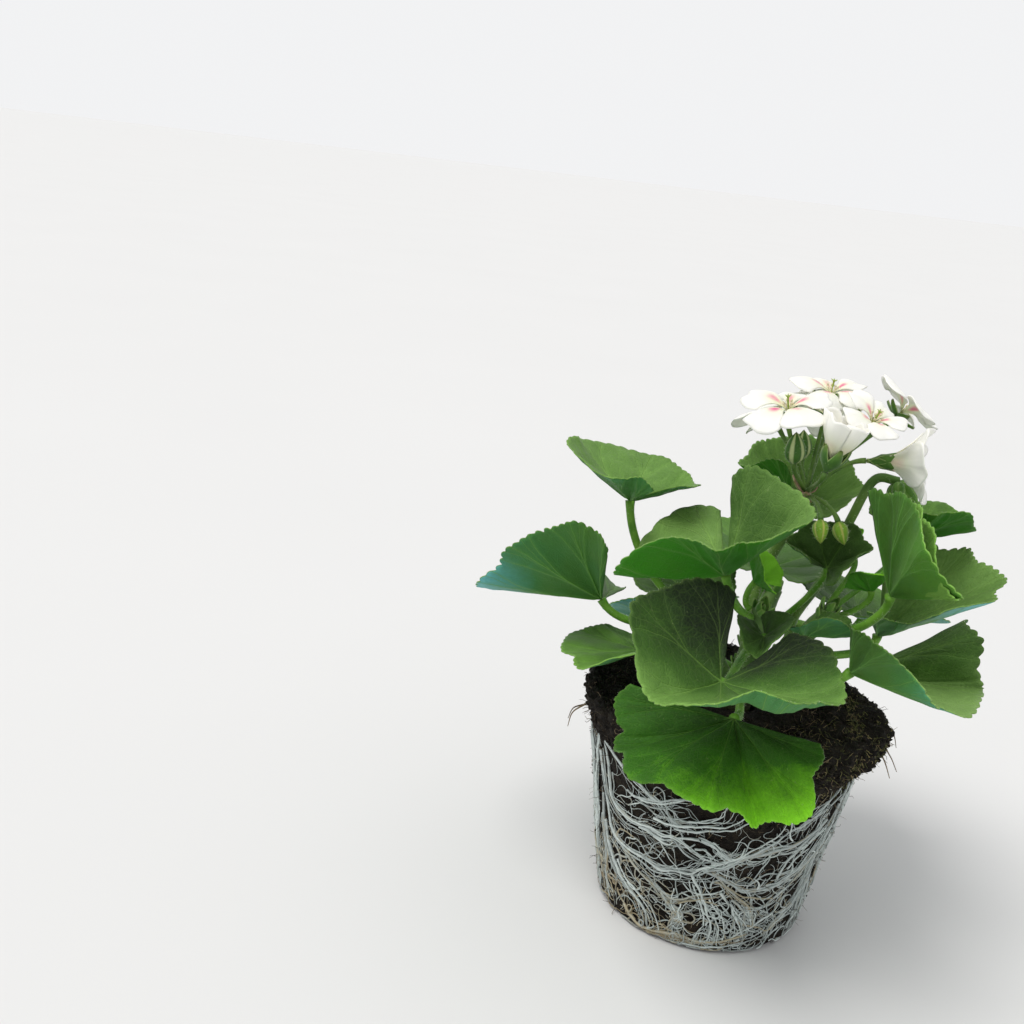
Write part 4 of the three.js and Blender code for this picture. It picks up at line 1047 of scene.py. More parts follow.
def make_root_ball():
    """Peat with fibres and crumbs, moss at the rim and a few loose threads."""
    rng = np.random.default_rng(11)
    ball = surface("peat_block", ball_points, 330, 150, closed=True)
    clothe(ball, PEAT)

    litter, shades = wisps(rng, TOP_FIBRES, lambda: rng.uniform(SIDE_RUN - 8, TOP_RUN),
                           lambda: rng.uniform(0, 360), length=5.0, radius=0.16)
    side_litter, side_shades = wisps(rng, SIDE_FIBRES, lambda: rng.uniform(0, SIDE_RUN),
                                     lambda: rng.uniform(0, 360), length=4.5, radius=0.13, rise=0.15)
    fibres = tubes("peat_fibres", litter + side_litter, 4, shades + side_shades)
    clothe(fibres, LITTER)

    deselect()
    bpy.ops.mesh.primitive_ico_sphere_add(subdivisions=1, radius=1)
    model = bpy.context.object
    places = []
    for _ in range(CRUMBS):
        top = rng.uniform() < TOP_CRUMB_SHARE
        level = rng.uniform(SIDE_RUN + 2, TOP_RUN) if top else rng.uniform(0, SIDE_RUN + 4)
        size = rng.uniform(0.35, 1.5) if top else rng.uniform(0.25, 0.8)
        turn = np.array(Matrix.Rotation(rng.uniform(0, FULL_TURN), 3, Vector(unit(rng.normal(0, 1, 3)))))
        spot = ball_spot(rng.uniform(0, 360), level) + rng.normal(0, 0.5, 3)
        spot[2] = max(spot[2], size + 0.2)
        places.append(np.column_stack([turn * (rng.uniform(0.5, 1.2, 3) * size), spot]))
    crumbs = clothe(strewn("peat_crumbs", model, places), PEAT)
    ob = joined("peat_ball", [ball, crumbs])
    enrol(ob, "peat", "root_ball")
    enrol(fibres, "peat")

    def mossy():
        return MOSS_BEARING + rng.normal(0, 30)

    tufts, moss_shades = wisps(rng, MOSS_WISPS, lambda: rng.uniform(SIDE_RUN - 4, SIDE_RUN + 30), mossy,
                               length=3.4, radius=0.18, rise=0.4, wander=1.1, lie=0.5,
                               shade_of=lambda: rng.uniform(0, 1) ** 1.1)
    front, front_shades = wisps(rng, FRONT_WISPS, lambda: rng.uniform(SIDE_RUN + 6, TOP_RUN - 20),
                                lambda: rng.uniform(-80, -10), length=4.5, radius=0.14)
    moss = clothe(tubes("moss", tufts + front, 4, moss_shades + front_shades), MOSS)
    enrol(moss, "peat")

    threads = [
        [(67, 6, 92), (70, 5, 87), (73, 5, 83), (76, 4, 78)],
        [(66, -4, 90), (69, -6, 86), (72, -8, 80)],
        [(68, 14, 93), (73, 15, 90), (75, 13, 85)],
        [(-60, -22, 92), (-65, -25, 88), (-66, -27, 82)],
        [(-61, -14, 88), (-66, -16, 86), (-68, -15, 80)],
    ]
    lines = [(smooth_line(t, 8), np.linspace(0.42, 0.15, 8 * (len(t) - 1))) for t in threads]
    loose = clothe(tubes("loose_threads", lines, 6, [0.8, 0.9, 0.7, 0.8, 0.6]), LITTER)
    enrol(loose, "peat")


# Roots

ROOT_STEP = 1.4
THICK_ROOT = 0.33
SWAG_SLOPE = 30
SWAG_SHIFT = 88
FRONT_BEARING = -90
SIDE_RADIUS = 52
MM_PER_DEGREE = 0.9
LOWEST_ROOT = 1.6
HIGHEST_ROOT = 84.0
TURNING_HEIGHT = 6
TAN_BEARING = -145
TAN_WIDTH = 50
TAN_HEIGHT = 55
LOOSE_ROOTS = 180
BASE_ROOTS = 190
THREAD_ROOTS = 460


def root_flow(bearing):
    """The slope of the roots' swags: down towards the front and the back, up beside them."""
    return np.radians(SWAG_SLOPE) * math.sin(2 * math.radians(bearing + SWAG_SHIFT))


def walk(rng, bearing, height, slope, length, curl, pull, step=1.5):
    """A root's way over the ball's side, as bearings and heights."""
    turn, way = 0.0, [(bearing, height)]
    backward = math.cos(slope) < 0
    for _ in range(int(length / step)):
        goal = root_flow(bearing) + (math.pi if backward else 0)
        turn = 0.72 * turn + rng.normal(0, curl)
        slope += turn + pull * math.sin(goal - slope)
        if height < TURNING_HEIGHT:
            onward = 1 if math.cos(slope) > 0 else -1
            slope += 0.35 * math.cos(slope) * onward * (TURNING_HEIGHT - height) / TURNING_HEIGHT
        bearing += math.degrees(step * math.cos(slope) / float(ball_side(height)))
        height += step * math.sin(slope)
        height = min(max(height, LOWEST_ROOT), HIGHEST_ROOT)
        way.append((bearing, height))
    return np.array(way)


def on_side(way, lift):
    """Points on the ball's side, lifted off it in mm."""
    b = np.radians(way[:, 0])
    radius = ball_side(way[:, 1]) + lift
    return np.stack([radius * np.cos(b), radius * np.sin(b), way[:, 1]], -1)


def root_shade(bearing, height, rng):
    """Cream to tan low at the left, bluish white elsewhere."""
    tan = math.exp(-(bearing_gap(bearing, TAN_BEARING) / TAN_WIDTH) ** 2)
    tan *= max(0.0, 1 - height / TAN_HEIGHT)
    return min(1.0, max(0.0, 0.8 - 0.6 * tan + rng.normal(0, 0.16)))


# Main roots on the ball's front, as bearings and heights, and how many run together.
ROOT_WAYS = [
    (5, [(-145, 82), (-135, 80), (-127, 76), (-115, 71), (-108, 67), (-104, 64), (-98, 63)]),
    (4, [(-113, 61), (-105, 62), (-98, 63), (-91, 65), (-84, 67), (-80, 69), (-75, 74)]),
    (8, [(-146, 82), (-142, 74), (-140, 66), (-139, 59), (-132, 55), (-124, 54), (-115, 55), (-108, 54),
         (-102, 55), (-96, 52), (-89, 50), (-83, 48)]),
    (9, [(-149, 76), (-146, 64), (-143, 56), (-140, 49), (-136, 42), (-127, 39), (-117, 39), (-109, 37),
         (-101, 39), (-94, 40), (-87, 44), (-81, 48), (-73, 52), (-66, 57), (-59, 62), (-54, 65), (-47, 68),
         (-38, 73), (-28, 78)]),
    (6, [(-104, 55), (-95, 57), (-88, 57), (-83, 54), (-78, 51), (-72, 51)]),
    (7, [(-33, 67), (-42, 60), (-50, 57), (-57, 57), (-65, 55), (-72, 51), (-79, 46), (-88, 43)]),
    (8, [(-88, 43), (-80, 41), (-74, 38), (-67, 35), (-60, 35), (-53, 36), (-47, 39), (-40, 43), (-32, 50),
         (-24, 58)]),
    (7, [(-84, 43), (-77, 37), (-71, 32), (-64, 27), (-60, 21), (-57, 15)]),
    (7, [(-138, 43), (-129, 37), (-120, 32), (-112, 29), (-105, 25), (-100, 24), (-92, 28), (-84, 31),
         (-77, 33)]),
    (7, [(-144, 44), (-141, 32), (-135, 25), (-127, 20), (-119, 16), (-113, 10), (-112, 3)]),
    (5, [(-106, 26), (-101, 20), (-96, 17), (-99, 10), (-98, 3)]),
    (6, [(-93, 40), (-89, 33), (-85, 26), (-81, 20), (-79, 14), (-80, 4)]),
    (5, [(-79, 33), (-71, 24), (-65, 17), (-61, 9)]),
    (6, [(-25, 59), (-30, 49), (-38, 41), (-46, 33), (-52, 27), (-58, 25), (-65, 27)]),
    (5, [(-29, 40), (-32, 28), (-38, 20), (-46, 14), (-50, 8)]),
    (5, [(-128, 9), (-119, 4), (-109, 4), (-99, 5), (-87, 5), (-78, 6), (-68, 9), (-60, 11)]),
    (8, [(-151, 82), (-155, 62), (-159, 42), (-157, 22), (-154, 5)]),
    (4, [(-27, 86), (-32, 80), (-38, 76), (-44, 71), (-52, 66)]),
    (3, [(-128, 68), (-120, 68), (-111, 70), (-104, 74), (-98, 76), (-91, 75)]),
    (4, [(-53, 41), (-51, 47), (-46, 53), (-38, 59), (-30, 62)]),
    (5, [(-147, 56), (-148, 40), (-144, 28), (-146, 14), (-140, 6)]),
]

# The front's roots are laid three times: as they are, mirrored, and turned, in degrees.
SIDE_TURNS = [(1, 0), (-1, 224), (1, 128)]


def waver(rng, count, size, step):
    """A smooth sideways drift along a root, in mm, with small kinks on it."""
    run = np.arange(count) * step
    widths = (rng.uniform(3.5, 7), rng.uniform(8, 15))
    drift = sum(np.sin(run / w + rng.uniform(0, FULL_TURN)) for w in widths)
    kinks = np.convolve(rng.normal(0, 1, count + 4), (0.2, 0.3, 0.3, 0.2), "same")[2:-2]
    return size * (0.5 * drift + 0.55 * kinks)


def beside(lead, offset):
    """A way moved sideways on the ball's skin by an offset in mm at each point."""
    flat = np.stack([np.radians(lead[:, 0]) * SIDE_RADIUS, lead[:, 1]], -1)
    run = np.gradient(flat, axis=0)
    aside = np.stack([-run[:, 1], run[:, 0]], -1) / np.linalg.norm(run, axis=1)[:, None]
    moved = flat + aside * offset[:, None]
    heights = np.clip(moved[:, 1], LOWEST_ROOT, HIGHEST_ROOT + 2)
    return np.stack([np.degrees(moved[:, 0] / SIDE_RADIUS), heights], -1)


def make_roots():
    """The white roots that wrap the ball: bundles, loose ones and threads."""
    rng = np.random.default_rng(29)
    lines = {"roots": [], "fine_roots": []}
    shades = {"roots": [], "fine_roots": []}

    def lay(way, radius, lift, shade):
        taper = 1 - 0.55 * np.linspace(0, 1, len(way)) ** 2
        swell = 1 + 0.16 * np.sin(np.arange(len(way)) * rng.uniform(0.3, 0.7) + rng.uniform(0, 6))
        lifts = lift + 0.25 * np.sin(np.arange(len(way)) * rng.uniform(0.15, 0.4) + rng.uniform(0, 6))
        piece = "roots" if radius > THICK_ROOT else "fine_roots"
        lines[piece].append((on_side(way, lifts), radius * taper * swell))
        shades[piece].append(min(1, max(0, shade)))

    def twig(way, radius):
        """A side root that leaves a root at a slant and wanders off."""
        i = int(rng.integers(2, len(way) - 1))
        slope = math.atan2(way[i][1] - way[i - 1][1], (way[i][0] - way[i - 1][0]) * MM_PER_DEGREE)
        slope += rng.choice([-1, 1]) * rng.uniform(0.3, 1.2)
        off = walk(rng, way[i][0], way[i][1], slope, rng.uniform(5, 20), 0.2, 0.0, 1.2)
        lay(off, radius * rng.uniform(0.45, 0.75), rng.uniform(0.1, 0.6), root_shade(*way[i], rng))

    def bundle(points, members, turn, side):
        """Roots that run together along a way, part and meet again."""
        turned_points = [(side * (b - FRONT_BEARING) + FRONT_BEARING + turn, h) for b, h in points]
        lead = smooth_line(turned_points, 5)
        length = np.linalg.norm(np.diff(lead * (MM_PER_DEGREE, 1), axis=0), axis=1).sum()
        even = np.linspace(0, 1, int(length / ROOT_STEP) + 4)
        lead = np.stack([np.interp(even, np.linspace(0, 1, len(lead)), lead[:, k]) for k in (0, 1)], -1)
        tone = root_shade(*lead[0], rng)
        lay(beside(lead, waver(rng, len(lead), 0.8, ROOT_STEP)), rng.uniform(0.5, 0.72), 0.4, tone)
        for _ in range(members):
            first = int(rng.integers(0, max(1, len(lead) * 3 // 4)))
            last = min(len(lead), first + int(rng.integers(12, 48)))
            part = lead[first:last]
            if len(part) < 6:
                continue
            open_ends = 1 + 1.8 * np.linspace(0, 1, len(part)) ** 3
            drift = rng.normal(0, 1.5) + waver(rng, len(part), 0.75, ROOT_STEP)
            part = beside(part, drift * open_ends)
            radius = 0.17 + 0.36 * rng.uniform() ** 1.6
            lay(part, radius, rng.uniform(0.1, 0.8), tone + rng.normal(0, 0.16))
            for _ in range(int(rng.integers(0, 3))):
                twig(part, radius)

    def strays(count, heights, lengths, radii, lifts, curl, pull=0.0, step=1.0, darker=0.0, branch=0.0):
        """Single roots that start anywhere at a height and wander off."""
        for _ in range(count):
            start, height = rng.uniform(0, 360), rng.uniform(*heights)
            slope = rng.uniform(0, 2 * math.pi)
            way = walk(rng, start, height, slope, rng.uniform(*lengths), curl, pull, step)
            lay(way, rng.uniform(*radii), rng.uniform(*lifts), root_shade(start, height, rng) - darker)
            if branch:
                twig(way, branch)

    for side, turn in SIDE_TURNS:
        for members, points in ROOT_WAYS:
            bundle(points, members * 5 // 3, turn, side)
    strays(LOOSE_ROOTS, heights=(4, 62), lengths=(16, 42), radii=(0.2, 0.42), lifts=(0.1, 0.5),
           curl=0.16, pull=0.05, step=1.4, branch=0.35)
    strays(BASE_ROOTS, heights=(2, 24), lengths=(8, 26), radii=(0.18, 0.45), lifts=(0.1, 0.9), curl=0.3)
    strays(THREAD_ROOTS, heights=(8, 82), lengths=(4, 16), radii=(0.1, 0.2), lifts=(0.0, 0.5),
           curl=0.25, pull=0.02, darker=0.1)
    net = clothe(tubes("roots", lines["roots"], 6, shades["roots"]), ROOT)
    enrol(net, "roots", "root_net")
    threads = clothe(tubes("fine_roots", lines["fine_roots"], 4, shades["fine_roots"]), ROOT)
    enrol(threads, "roots")


make_root_ball()
make_roots()


# Stems

STOCK_TOP = 104
STOCK_FOOT_RADIUS = 8.4
STOCK_TOP_RADIUS = 7.1
SHOOT_JOINTS = (0.22, 0.45, 0.66, 0.86)
SHOOT_HAIRS = 260
TIP_SCALES = 5

STALK = stalk_material("flower stalk", rgb(0.07, 0.16, 0.025), rgb(0.15, 0.27, 0.05))
STEM = stalk_material("stem", rgb(0.06, 0.14, 0.025), rgb(0.14, 0.25, 0.06))
BARK = peat_material("old stem", rgb(0.03, 0.035, 0.012), rgb(0.09, 0.10, 0.035), rgb(0.16, 0.13, 0.07))


def scale_leaf(name, foot, direction, face, length, width, hollow, curl, thickness=0.35, neck=0.6):
    """A small pointed blade from its foot, hollow on the side that it faces."""
    along = unit(np.array(direction, float))
    side = unit(np.cross(along, face))
    face = np.cross(side, along)

    def place(u, v):
        aside = 2 * u - 1
        half = width * (np.sin(np.pi * np.clip(0.12 + 0.88 * v, 0, 1) ** 0.85) ** 0.8 + 0.04)
        half = np.minimum(half, width * (neck + v / 0.45))
        bend = curl * v**2
        x = half * aside
        y = length * v * np.cos(bend)
        z = length * v * np.sin(bend) + width * hollow * aside**2
        return np.array(foot, float) + x[:, None] * side + y[:, None] * along + z[:, None] * face

    marks = {"rim": lambda u, v: np.abs(2 * u - 1), "along": lambda u, v: v}
    return surface(name, place, 10, 12, thickness, attributes=marks)


def make_stems():
    """The stock with its shoots, their tips and the stipules at the leaf stalks."""
    rng = np.random.default_rng(3)
    parts = []
    x, y, _ = CROWN
    stock = np.linspace(HOLE_FLOOR + 0.1, STOCK_TOP, 14)
    wobble = 0.35 * np.sin(stock * 1.3)
    stock_line = np.stack([x + wobble * 0.3, y + 0 * stock, stock], -1)
    taper = np.interp(stock, [HOLE_FLOOR, STOCK_TOP], [STOCK_FOOT_RADIUS, STOCK_TOP_RADIUS])
    old = tubes("stock", [(stock_line, taper * (1 + 0.02 * wobble))], 24)
    parts.append(clothe(old, BARK))
    lines = []
    for line, radius in SHOOT_LINES.values():
        run = np.linspace(0, 1, len(line))
        joints = sum(np.exp(-(((run - s) / 0.035) ** 2)) for s in SHOOT_JOINTS)
        lines.append((line, radius * (0.94 + 0.07 * joints)))
        stalk_hairs(line, radius * 0.95, SHOOT_HAIRS, 1.1)
    shoots = clothe(tubes("shoots", lines, 16), STEM)
    parts.append(shoots)
    for shoot, (line, radius) in SHOOT_LINES.items():
        centre, axis = at_share(line, 1.0)
        for k in range(TIP_SCALES):
            away = unit(np.cross(axis, heading(GOLDEN_ANGLE * k, 10)))
            direction = unit(axis + away * (0.55 - 0.1 * k))
            foot = centre + away * (radius * 0.62 - 0.35 * k) - axis * 1.2
            blade = scale_leaf(f"tip_{shoot}_{k}", foot, direction, -away, 7 - 0.5 * k, 2.1 - 0.2 * k,
                               0.6, 0.25)
            parts.append(clothe(blade, STIPULE))
    for leaf in LEAVES:
        line, radius = SHOOT_LINES[leaf["shoot"]]
        centre, axis = at_share(line, leaf["share"])
        aside = unit(np.cross(np.array(leaf["hub"], float) - centre, axis))
        for side in (-1, 1):
            across = aside * side
            direction = unit(axis + across * 0.7 + rng.normal(0, 0.08, 3))
            foot = centre + across * (radius - 0.5)
            blade = scale_leaf(f"stipule_{leaf['name']}_{side}", foot, direction, -across, 5.5, 1.9, 0.4, 0.1)
            parts.append(clothe(blade, STIPULE))
    ob = joined("stems_and_stipules", parts)
    enrol(ob, "stem", "stems")


# Flowers

# centre, facing, lean, length and spin place a flower and open it. The half-open ones also
# have a breadth of petal, the share of it at the foot, and the rise of a petal from foot to
# tip, in degrees. blushed lists the petals with a full pink patch, where not all have one,
# and sepal is length, width, opening and curl.
FLORETS = [
    dict(name="floret_left", centre=(3, -13, 231), facing=(-120, 72), lean=74, length=20, spin=10),
    dict(name="floret_top", centre=(19, 14, 235.5), facing=(-70, 80), lean=72, length=19, spin=40),
    dict(name="floret_middle", centre=(36, -8, 230), facing=(-50, 62), lean=60, length=16, spin=4),
    dict(name="floret_half_open", centre=(22.3, -24.5, 216), facing=(-20, 76), lean=18, length=22, spin=20,
         breadth=1.5, claw=0.9, rise=(38, 36, 27), blushed=(), sepal=(13, 2.8, 44, 0.3)),
    dict(name="floret_right", centre=(41, 4, 213), facing=(-10, 8), lean=38, length=27, spin=36,
         breadth=1.35, claw=0.75, rise=(18, 26, 36), blushed=(0, 4), sepal=(14, 2.5, 23, 0.1)),
    dict(name="floret_upper_right", centre=(49, 24, 231), facing=(20, 46), lean=64, length=19, spin=0),
    dict(name="floret_rear", centre=(20, 39, 222), facing=(94, 42), lean=66, length=19, spin=25),
    dict(name="floret_rear_left", centre=(-2, 20, 221), facing=(150, 48), lean=66, length=19, spin=60),
]
PETAL_LAYERS = (-6, 5, -3, 6, 1)
PETALS = 5
UPPER_PETALS = 2
UMBEL_BASE = np.array((16.0, 0.0, 195.0))
PEDUNCLE_RADIUS = 2.4
BUDS = [
    dict(base=(9, -10, 209), facing=(-150, 84), length=14, radius=4.5),
    dict(base=(12, 6, 208), facing=(120, 80), length=13, radius=4),
    dict(base=(23, -18, 191), facing=(-70, -62), length=10.5, radius=3.4),
    dict(base=(30, -13, 190), facing=(-40, -58), length=10.5, radius=3.4),
]
BRACTS = [((-175, 35), 9, 1.8), ((-120, 10), 7, 1.8), ((-40, -20), 6, 1.6), ((90, 20), 8, 1.8)]
NODDING_TIP = (53, 14, 204)
NODDING_STALK_RADIUS = 2.3
STALK_ARRIVAL = 0.3
STALK_HAIRS = 420
UPPER_PETAL_LENGTH = 0.88
UPPER_PETAL_SPREAD = 0.84
WIDE_LEAN = 50
STYLE_RADIUS = 0.42
SHORT_STYLE = 6.0
LONG_STYLE = 9.0
STYLE_BRANCHES = 5
STAMENS = 7
STAMEN_TURN = 51.4
SEPALS = 5
SEPAL_LEAN = 16
SEPAL_WIDTH = 2.2
TIGHT_BUDS = 9
TIGHT_BUD_RADIUS = 3.15
HAIRY_BUD_RADIUS = 3
BUD_HAIRS = 90
BUD_ALONG = [0, 0.06, 0.14, 0.22, 0.33, 0.45, 0.62, 0.78, 0.9, 1]
BUD_WIDE = [0, 0.3, 0.62, 0.86, 0.97, 1, 0.86, 0.6, 0.3, 0]


def petal_material():
    """White that is greenish at the foot, partly its own colour and partly painted shade, with a pink patch.
    """
    look, g, bsdf = material("petal", Roughness=0.5, Sheen_Weight=0.15, Specular_IOR_Level=0.3,
                             Subsurface_Weight=0.4, Subsurface_Scale=0.003, Subsurface_Radius=(1, 1, 0.85))
    place = g.place()
    out, aside, blush = g.attribute("out"), g.attribute("aside"), g.attribute("blush")
    soft = g.noise(place, 140.0, 2.0)
    # Greenish from the foot most of the way out: partly the petal's own green foot and partly painted shade,
    # the yellow-green of petals in shadow.
    base = g.mix(g.step(out, 0.05, 0.9, 0.95, 0.0), rgb(0.99, 0.975, 0.90), rgb(0.84, 0.87, 0.46))
    base = g.mix(g.step(soft, 0.3, 0.7, 0.0, 0.12), base, rgb(0.90, 0.90, 0.80))
    centre = g.step(g.math("ABSOLUTE", g.minus(out, 0.34)), 0.04, 0.24, 1.0, 0.0)
    middle = g.step(g.math("ABSOLUTE", aside), 0.1, 0.75, 1.0, 0.0)
    patch = g.times(centre, middle)
    patch = g.times(patch, g.times(blush, g.step(soft, 0.2, 0.6, 0.5, 1.0)))
    base = g.mix(patch, base, rgb(0.82, 0.09, 0.27))
    rays = g.math("SINE", g.times(aside, 34.0))
    height = g.plus(g.times(rays, 0.3), g.noise(place, 1500.0, 2.0))
    feed(g, bsdf, Base_Color=base, Normal=g.bump(height, 0.12, 0.0004))
    return look


def margined_material(name, low, high, margin, start=0.55, end=0.95, tip=0.45):
    """Two mixed colours, a margin in a third one, and a brown tip."""
    look, g, bsdf = material(name, Roughness=0.55, Sheen_Weight=0.2, Specular_IOR_Level=0.35)
    place = g.place()
    skin = placed(g, SKIN, Place=place, Blotch_Scale=160.0)
    base = g.mix(g.step(skin["Blotch"], 0.3, 0.7), low, high)
    base = g.mix(g.step(g.attribute("rim"), start, end), base, margin)
    base = g.mix(g.step(g.attribute("along"), 0.75, 1.0, 0.0, tip), base, rgb(0.30, 0.20, 0.08))
    feed(g, bsdf, Base_Color=base, Normal=g.bump(skin["Height"], 0.3, 0.0004))
    return look


PETAL = petal_material()
SEPAL = margined_material("sepal", rgb(0.035, 0.12, 0.01), rgb(0.09, 0.22, 0.025),
                          rgb(0.36, 0.48, 0.16), 0.86, 1.04, 0.2)
BUD_SKIN = margined_material("bud", rgb(0.03, 0.11, 0.01), rgb(0.07, 0.19, 0.02),
                             rgb(0.52, 0.60, 0.28), 0.5, 0.9)
YOUNG_BUD = margined_material("young bud", rgb(0.12, 0.27, 0.01), rgb(0.20, 0.36, 0.02),
                              rgb(0.42, 0.44, 0.10), 0.72, 1.0)
BRACT = margined_material("bract", rgb(0.22, 0.30, 0.06), rgb(0.36, 0.36, 0.12),
                          rgb(0.50, 0.30, 0.22), 0.4, 1.0)
STIPULE = margined_material("stipule", rgb(0.05, 0.17, 0.012), rgb(0.12, 0.28, 0.03),
                            rgb(0.18, 0.34, 0.06), 0.5, 1, 0.1)
STYLE = stalk_material("style", rgb(0.22, 0.34, 0.05), rgb(0.40, 0.50, 0.10))
ANTHER = stalk_material("anther", rgb(0.62, 0.55, 0.38), rgb(0.80, 0.74, 0.56))


def make_petal(name, floret, k, rng):
    """One thin, curled petal, from the flower's centre outwards."""
    facing = facing_turn(heading(*floret["facing"]))
    upper = k < UPPER_PETALS
    lean = floret["lean"] + PETAL_LAYERS[k]
    length = floret["length"] * (UPPER_PETAL_LENGTH if upper else 1)
    spread = PETAL_SPREAD * (UPPER_PETAL_SPREAD if upper else 1) * floret.get("breadth", 1)
    claw = floret.get("claw", CLAW_SHARE)
    rise = floret.get("rise", (0.6 * lean, 0.8 * lean + 3, lean + PETAL_CURL))
    spin = floret["spin"] + FIFTH_TURN * k
    phase, twist = rng.uniform(0, FULL_TURN, 2)
    centre = np.array(floret["centre"], float)

    def place(u, v):
        aside, out = 2 * u - 1, 0.05 + 0.95 * v
        width = spread * (claw + (1 - claw) * out)
        bearing = np.radians(spin + aside * width / 2)
        notch = 1 - 0.05 * np.exp(-((aside / 0.2) ** 2)) * smoothstep(out, 0.7, 1)
        rim = 1 + 0.018 * np.sin(aside * 9 + phase) * smoothstep(out, 0.8, 1)
        reach = length * out * np.sqrt(1 - 0.6 * np.abs(aside) ** 2.4) * notch * rim
        cupped = -5 * np.abs(aside) ** 2 * out + 3.5 * np.sin(aside * 4 + twist) * out**2
        fold = 1.6 * np.exp(-((aside / 0.13) ** 2)) * out * (1 - out * 0.6)
        angle = np.radians(np.interp(out, (0, 0.5, 1), rise) + PETAL_LAYERS[k] * 0.3 + cupped + fold)
        flat = np.stack([np.sin(angle) * np.cos(bearing), np.sin(angle) * np.sin(bearing), np.cos(angle)], -1)
        return centre + (flat * reach[:, None]) @ facing.T

    blush = rng.uniform(0.75, 1) if k in floret.get("blushed", (0, 1, 2, 3, 4)) else rng.uniform(0, 0.3)
    marks = {"out": lambda u, v: v, "aside": lambda u, v: 2 * u - 1, "blush": lambda u, v: blush + 0 * u}
    return clothe(surface(name, place, 26, 20, PETAL_THICKNESS, attributes=marks), PETAL)


def make_floret(floret):
    """The petals, style and stamens of an open flower."""
    rng = np.random.default_rng(sum(map(ord, floret["name"])))
    parts = [make_petal(f"{floret['name']}_petal_{k}", floret, k, rng) for k in range(PETALS)]
    facing = heading(*floret["facing"])
    turn = facing_turn(facing)
    centre = np.array(floret["centre"], float)
    lines = []
    tall = SHORT_STYLE if floret["lean"] > WIDE_LEAN else LONG_STYLE
    style = [centre - facing * 1.2, centre + facing * tall * 0.5, centre + facing * tall]
    lines.append((smooth_line(style, 5), STYLE_RADIUS))
    for k in range(STYLE_BRANCHES):
        out = turn @ heading(FIFTH_TURN * k + 20, 25)
        tip = centre + facing * tall
        branch = [tip - facing * 0.3, tip + facing * 0.6 + out * 0.6, tip + out * 1.5 + facing * 0.5]
        lines.append((np.array(branch), np.array([0.3, 0.26, 0.16])))
    parts.append(clothe(tubes("style", lines, 6), STYLE))
    anthers = []
    for k in range(STAMENS):
        out = turn @ heading(STAMEN_TURN * k, 62)
        tip = centre + out * tall * rng.uniform(0.55, 0.8)
        anthers.append((np.array([centre, tip]), 0.16))
        anthers.append((np.array([tip - out * 0.2, tip + out * 0.3, tip + out * 0.9, tip + out * 1.3]),
                        np.array([0.1, 0.42, 0.42, 0.1])))
    parts.append(clothe(tubes("stamens", anthers, 6), ANTHER))
    enrol(joined(floret["name"], parts), "petal", floret["name"])


bud_draws = np.random.default_rng(23)


def make_bud(name, base, direction, length, radius, ribs=5, across=40, along=16, skin=None):
    """A ribbed bud that narrows to both ends."""
    turn = facing_turn(direction)

    def place(u, v):
        wide = np.interp(v, BUD_ALONG, BUD_WIDE)
        rib = 1 - 0.13 * (0.5 - 0.5 * np.cos(ribs * u * 2 * np.pi)) * np.sin(np.pi * v)
        r = radius * wide * rib
        flat = np.stack([r * np.cos(u * 2 * np.pi), r * np.sin(u * 2 * np.pi), length * v], -1)
        return np.array(base, float) + flat @ turn.T

    marks = {"rim": lambda u, v: 0.5 - 0.5 * np.cos(ribs * u * 2 * np.pi), "along": lambda u, v: v * 0.9}
    bud = surface(name, place, across, along, attributes=marks, closed=True)
    if radius > HAIRY_BUD_RADIUS:
        angles = bud_draws.uniform(0, 1, BUD_HAIRS)
        heights = bud_draws.uniform(0.08, 0.85, BUD_HAIRS)
        spots = place(angles, heights)
        away = unit(spots - (np.array(base, float) + heights[:, None] * length * direction))
        add_hairs(spots, away, BUD_HAIRS, 1.2)
    return clothe(bud, skin or (BUD_SKIN if direction[2] > 0 else YOUNG_BUD))


def bowed(start, leave, end, arrive, count=14):
    """A stalk that leaves and arrives in given directions."""
    length = np.linalg.norm(np.array(start) - end)
    leave_to = start + leave * length * PETIOLE_BOW
    arrive_from = end - arrive * length * STALK_ARRIVAL
    return bezier(np.array(start), leave_to, arrive_from, np.array(end), count)


def make_calyx(floret):
    """The point under a flower that its sepals stand on, and the sepals."""
    facing = heading(*floret["facing"])
    turn = facing_turn(facing)
    lean = floret["lean"] + SEPAL_LEAN
    long, wide, opened, curl = floret.get("sepal", (SEPAL_LENGTH, SEPAL_WIDTH, min(lean, 90), 0.12))
    drop = CALYX_DROP / math.sin(math.radians(lean))
    base = np.array(floret["centre"], float) - facing * drop
    opened = math.radians(opened)
    parts = []
    for k in range(SEPALS):
        b = math.radians(FIFTH_TURN * k)
        flat = np.array([math.cos(b) * math.sin(opened), math.sin(b) * math.sin(opened), math.cos(opened)])
        inner = [-math.cos(b) * math.cos(opened), -math.sin(b) * math.cos(opened), math.sin(opened)]
        sepal = scale_leaf(f"sepal_{k}", base, turn @ flat, turn @ np.array(inner), long, wide,
                           0.4, curl, 0.4, 0.12)
        parts.append(clothe(sepal, SEPAL))
    return base, parts


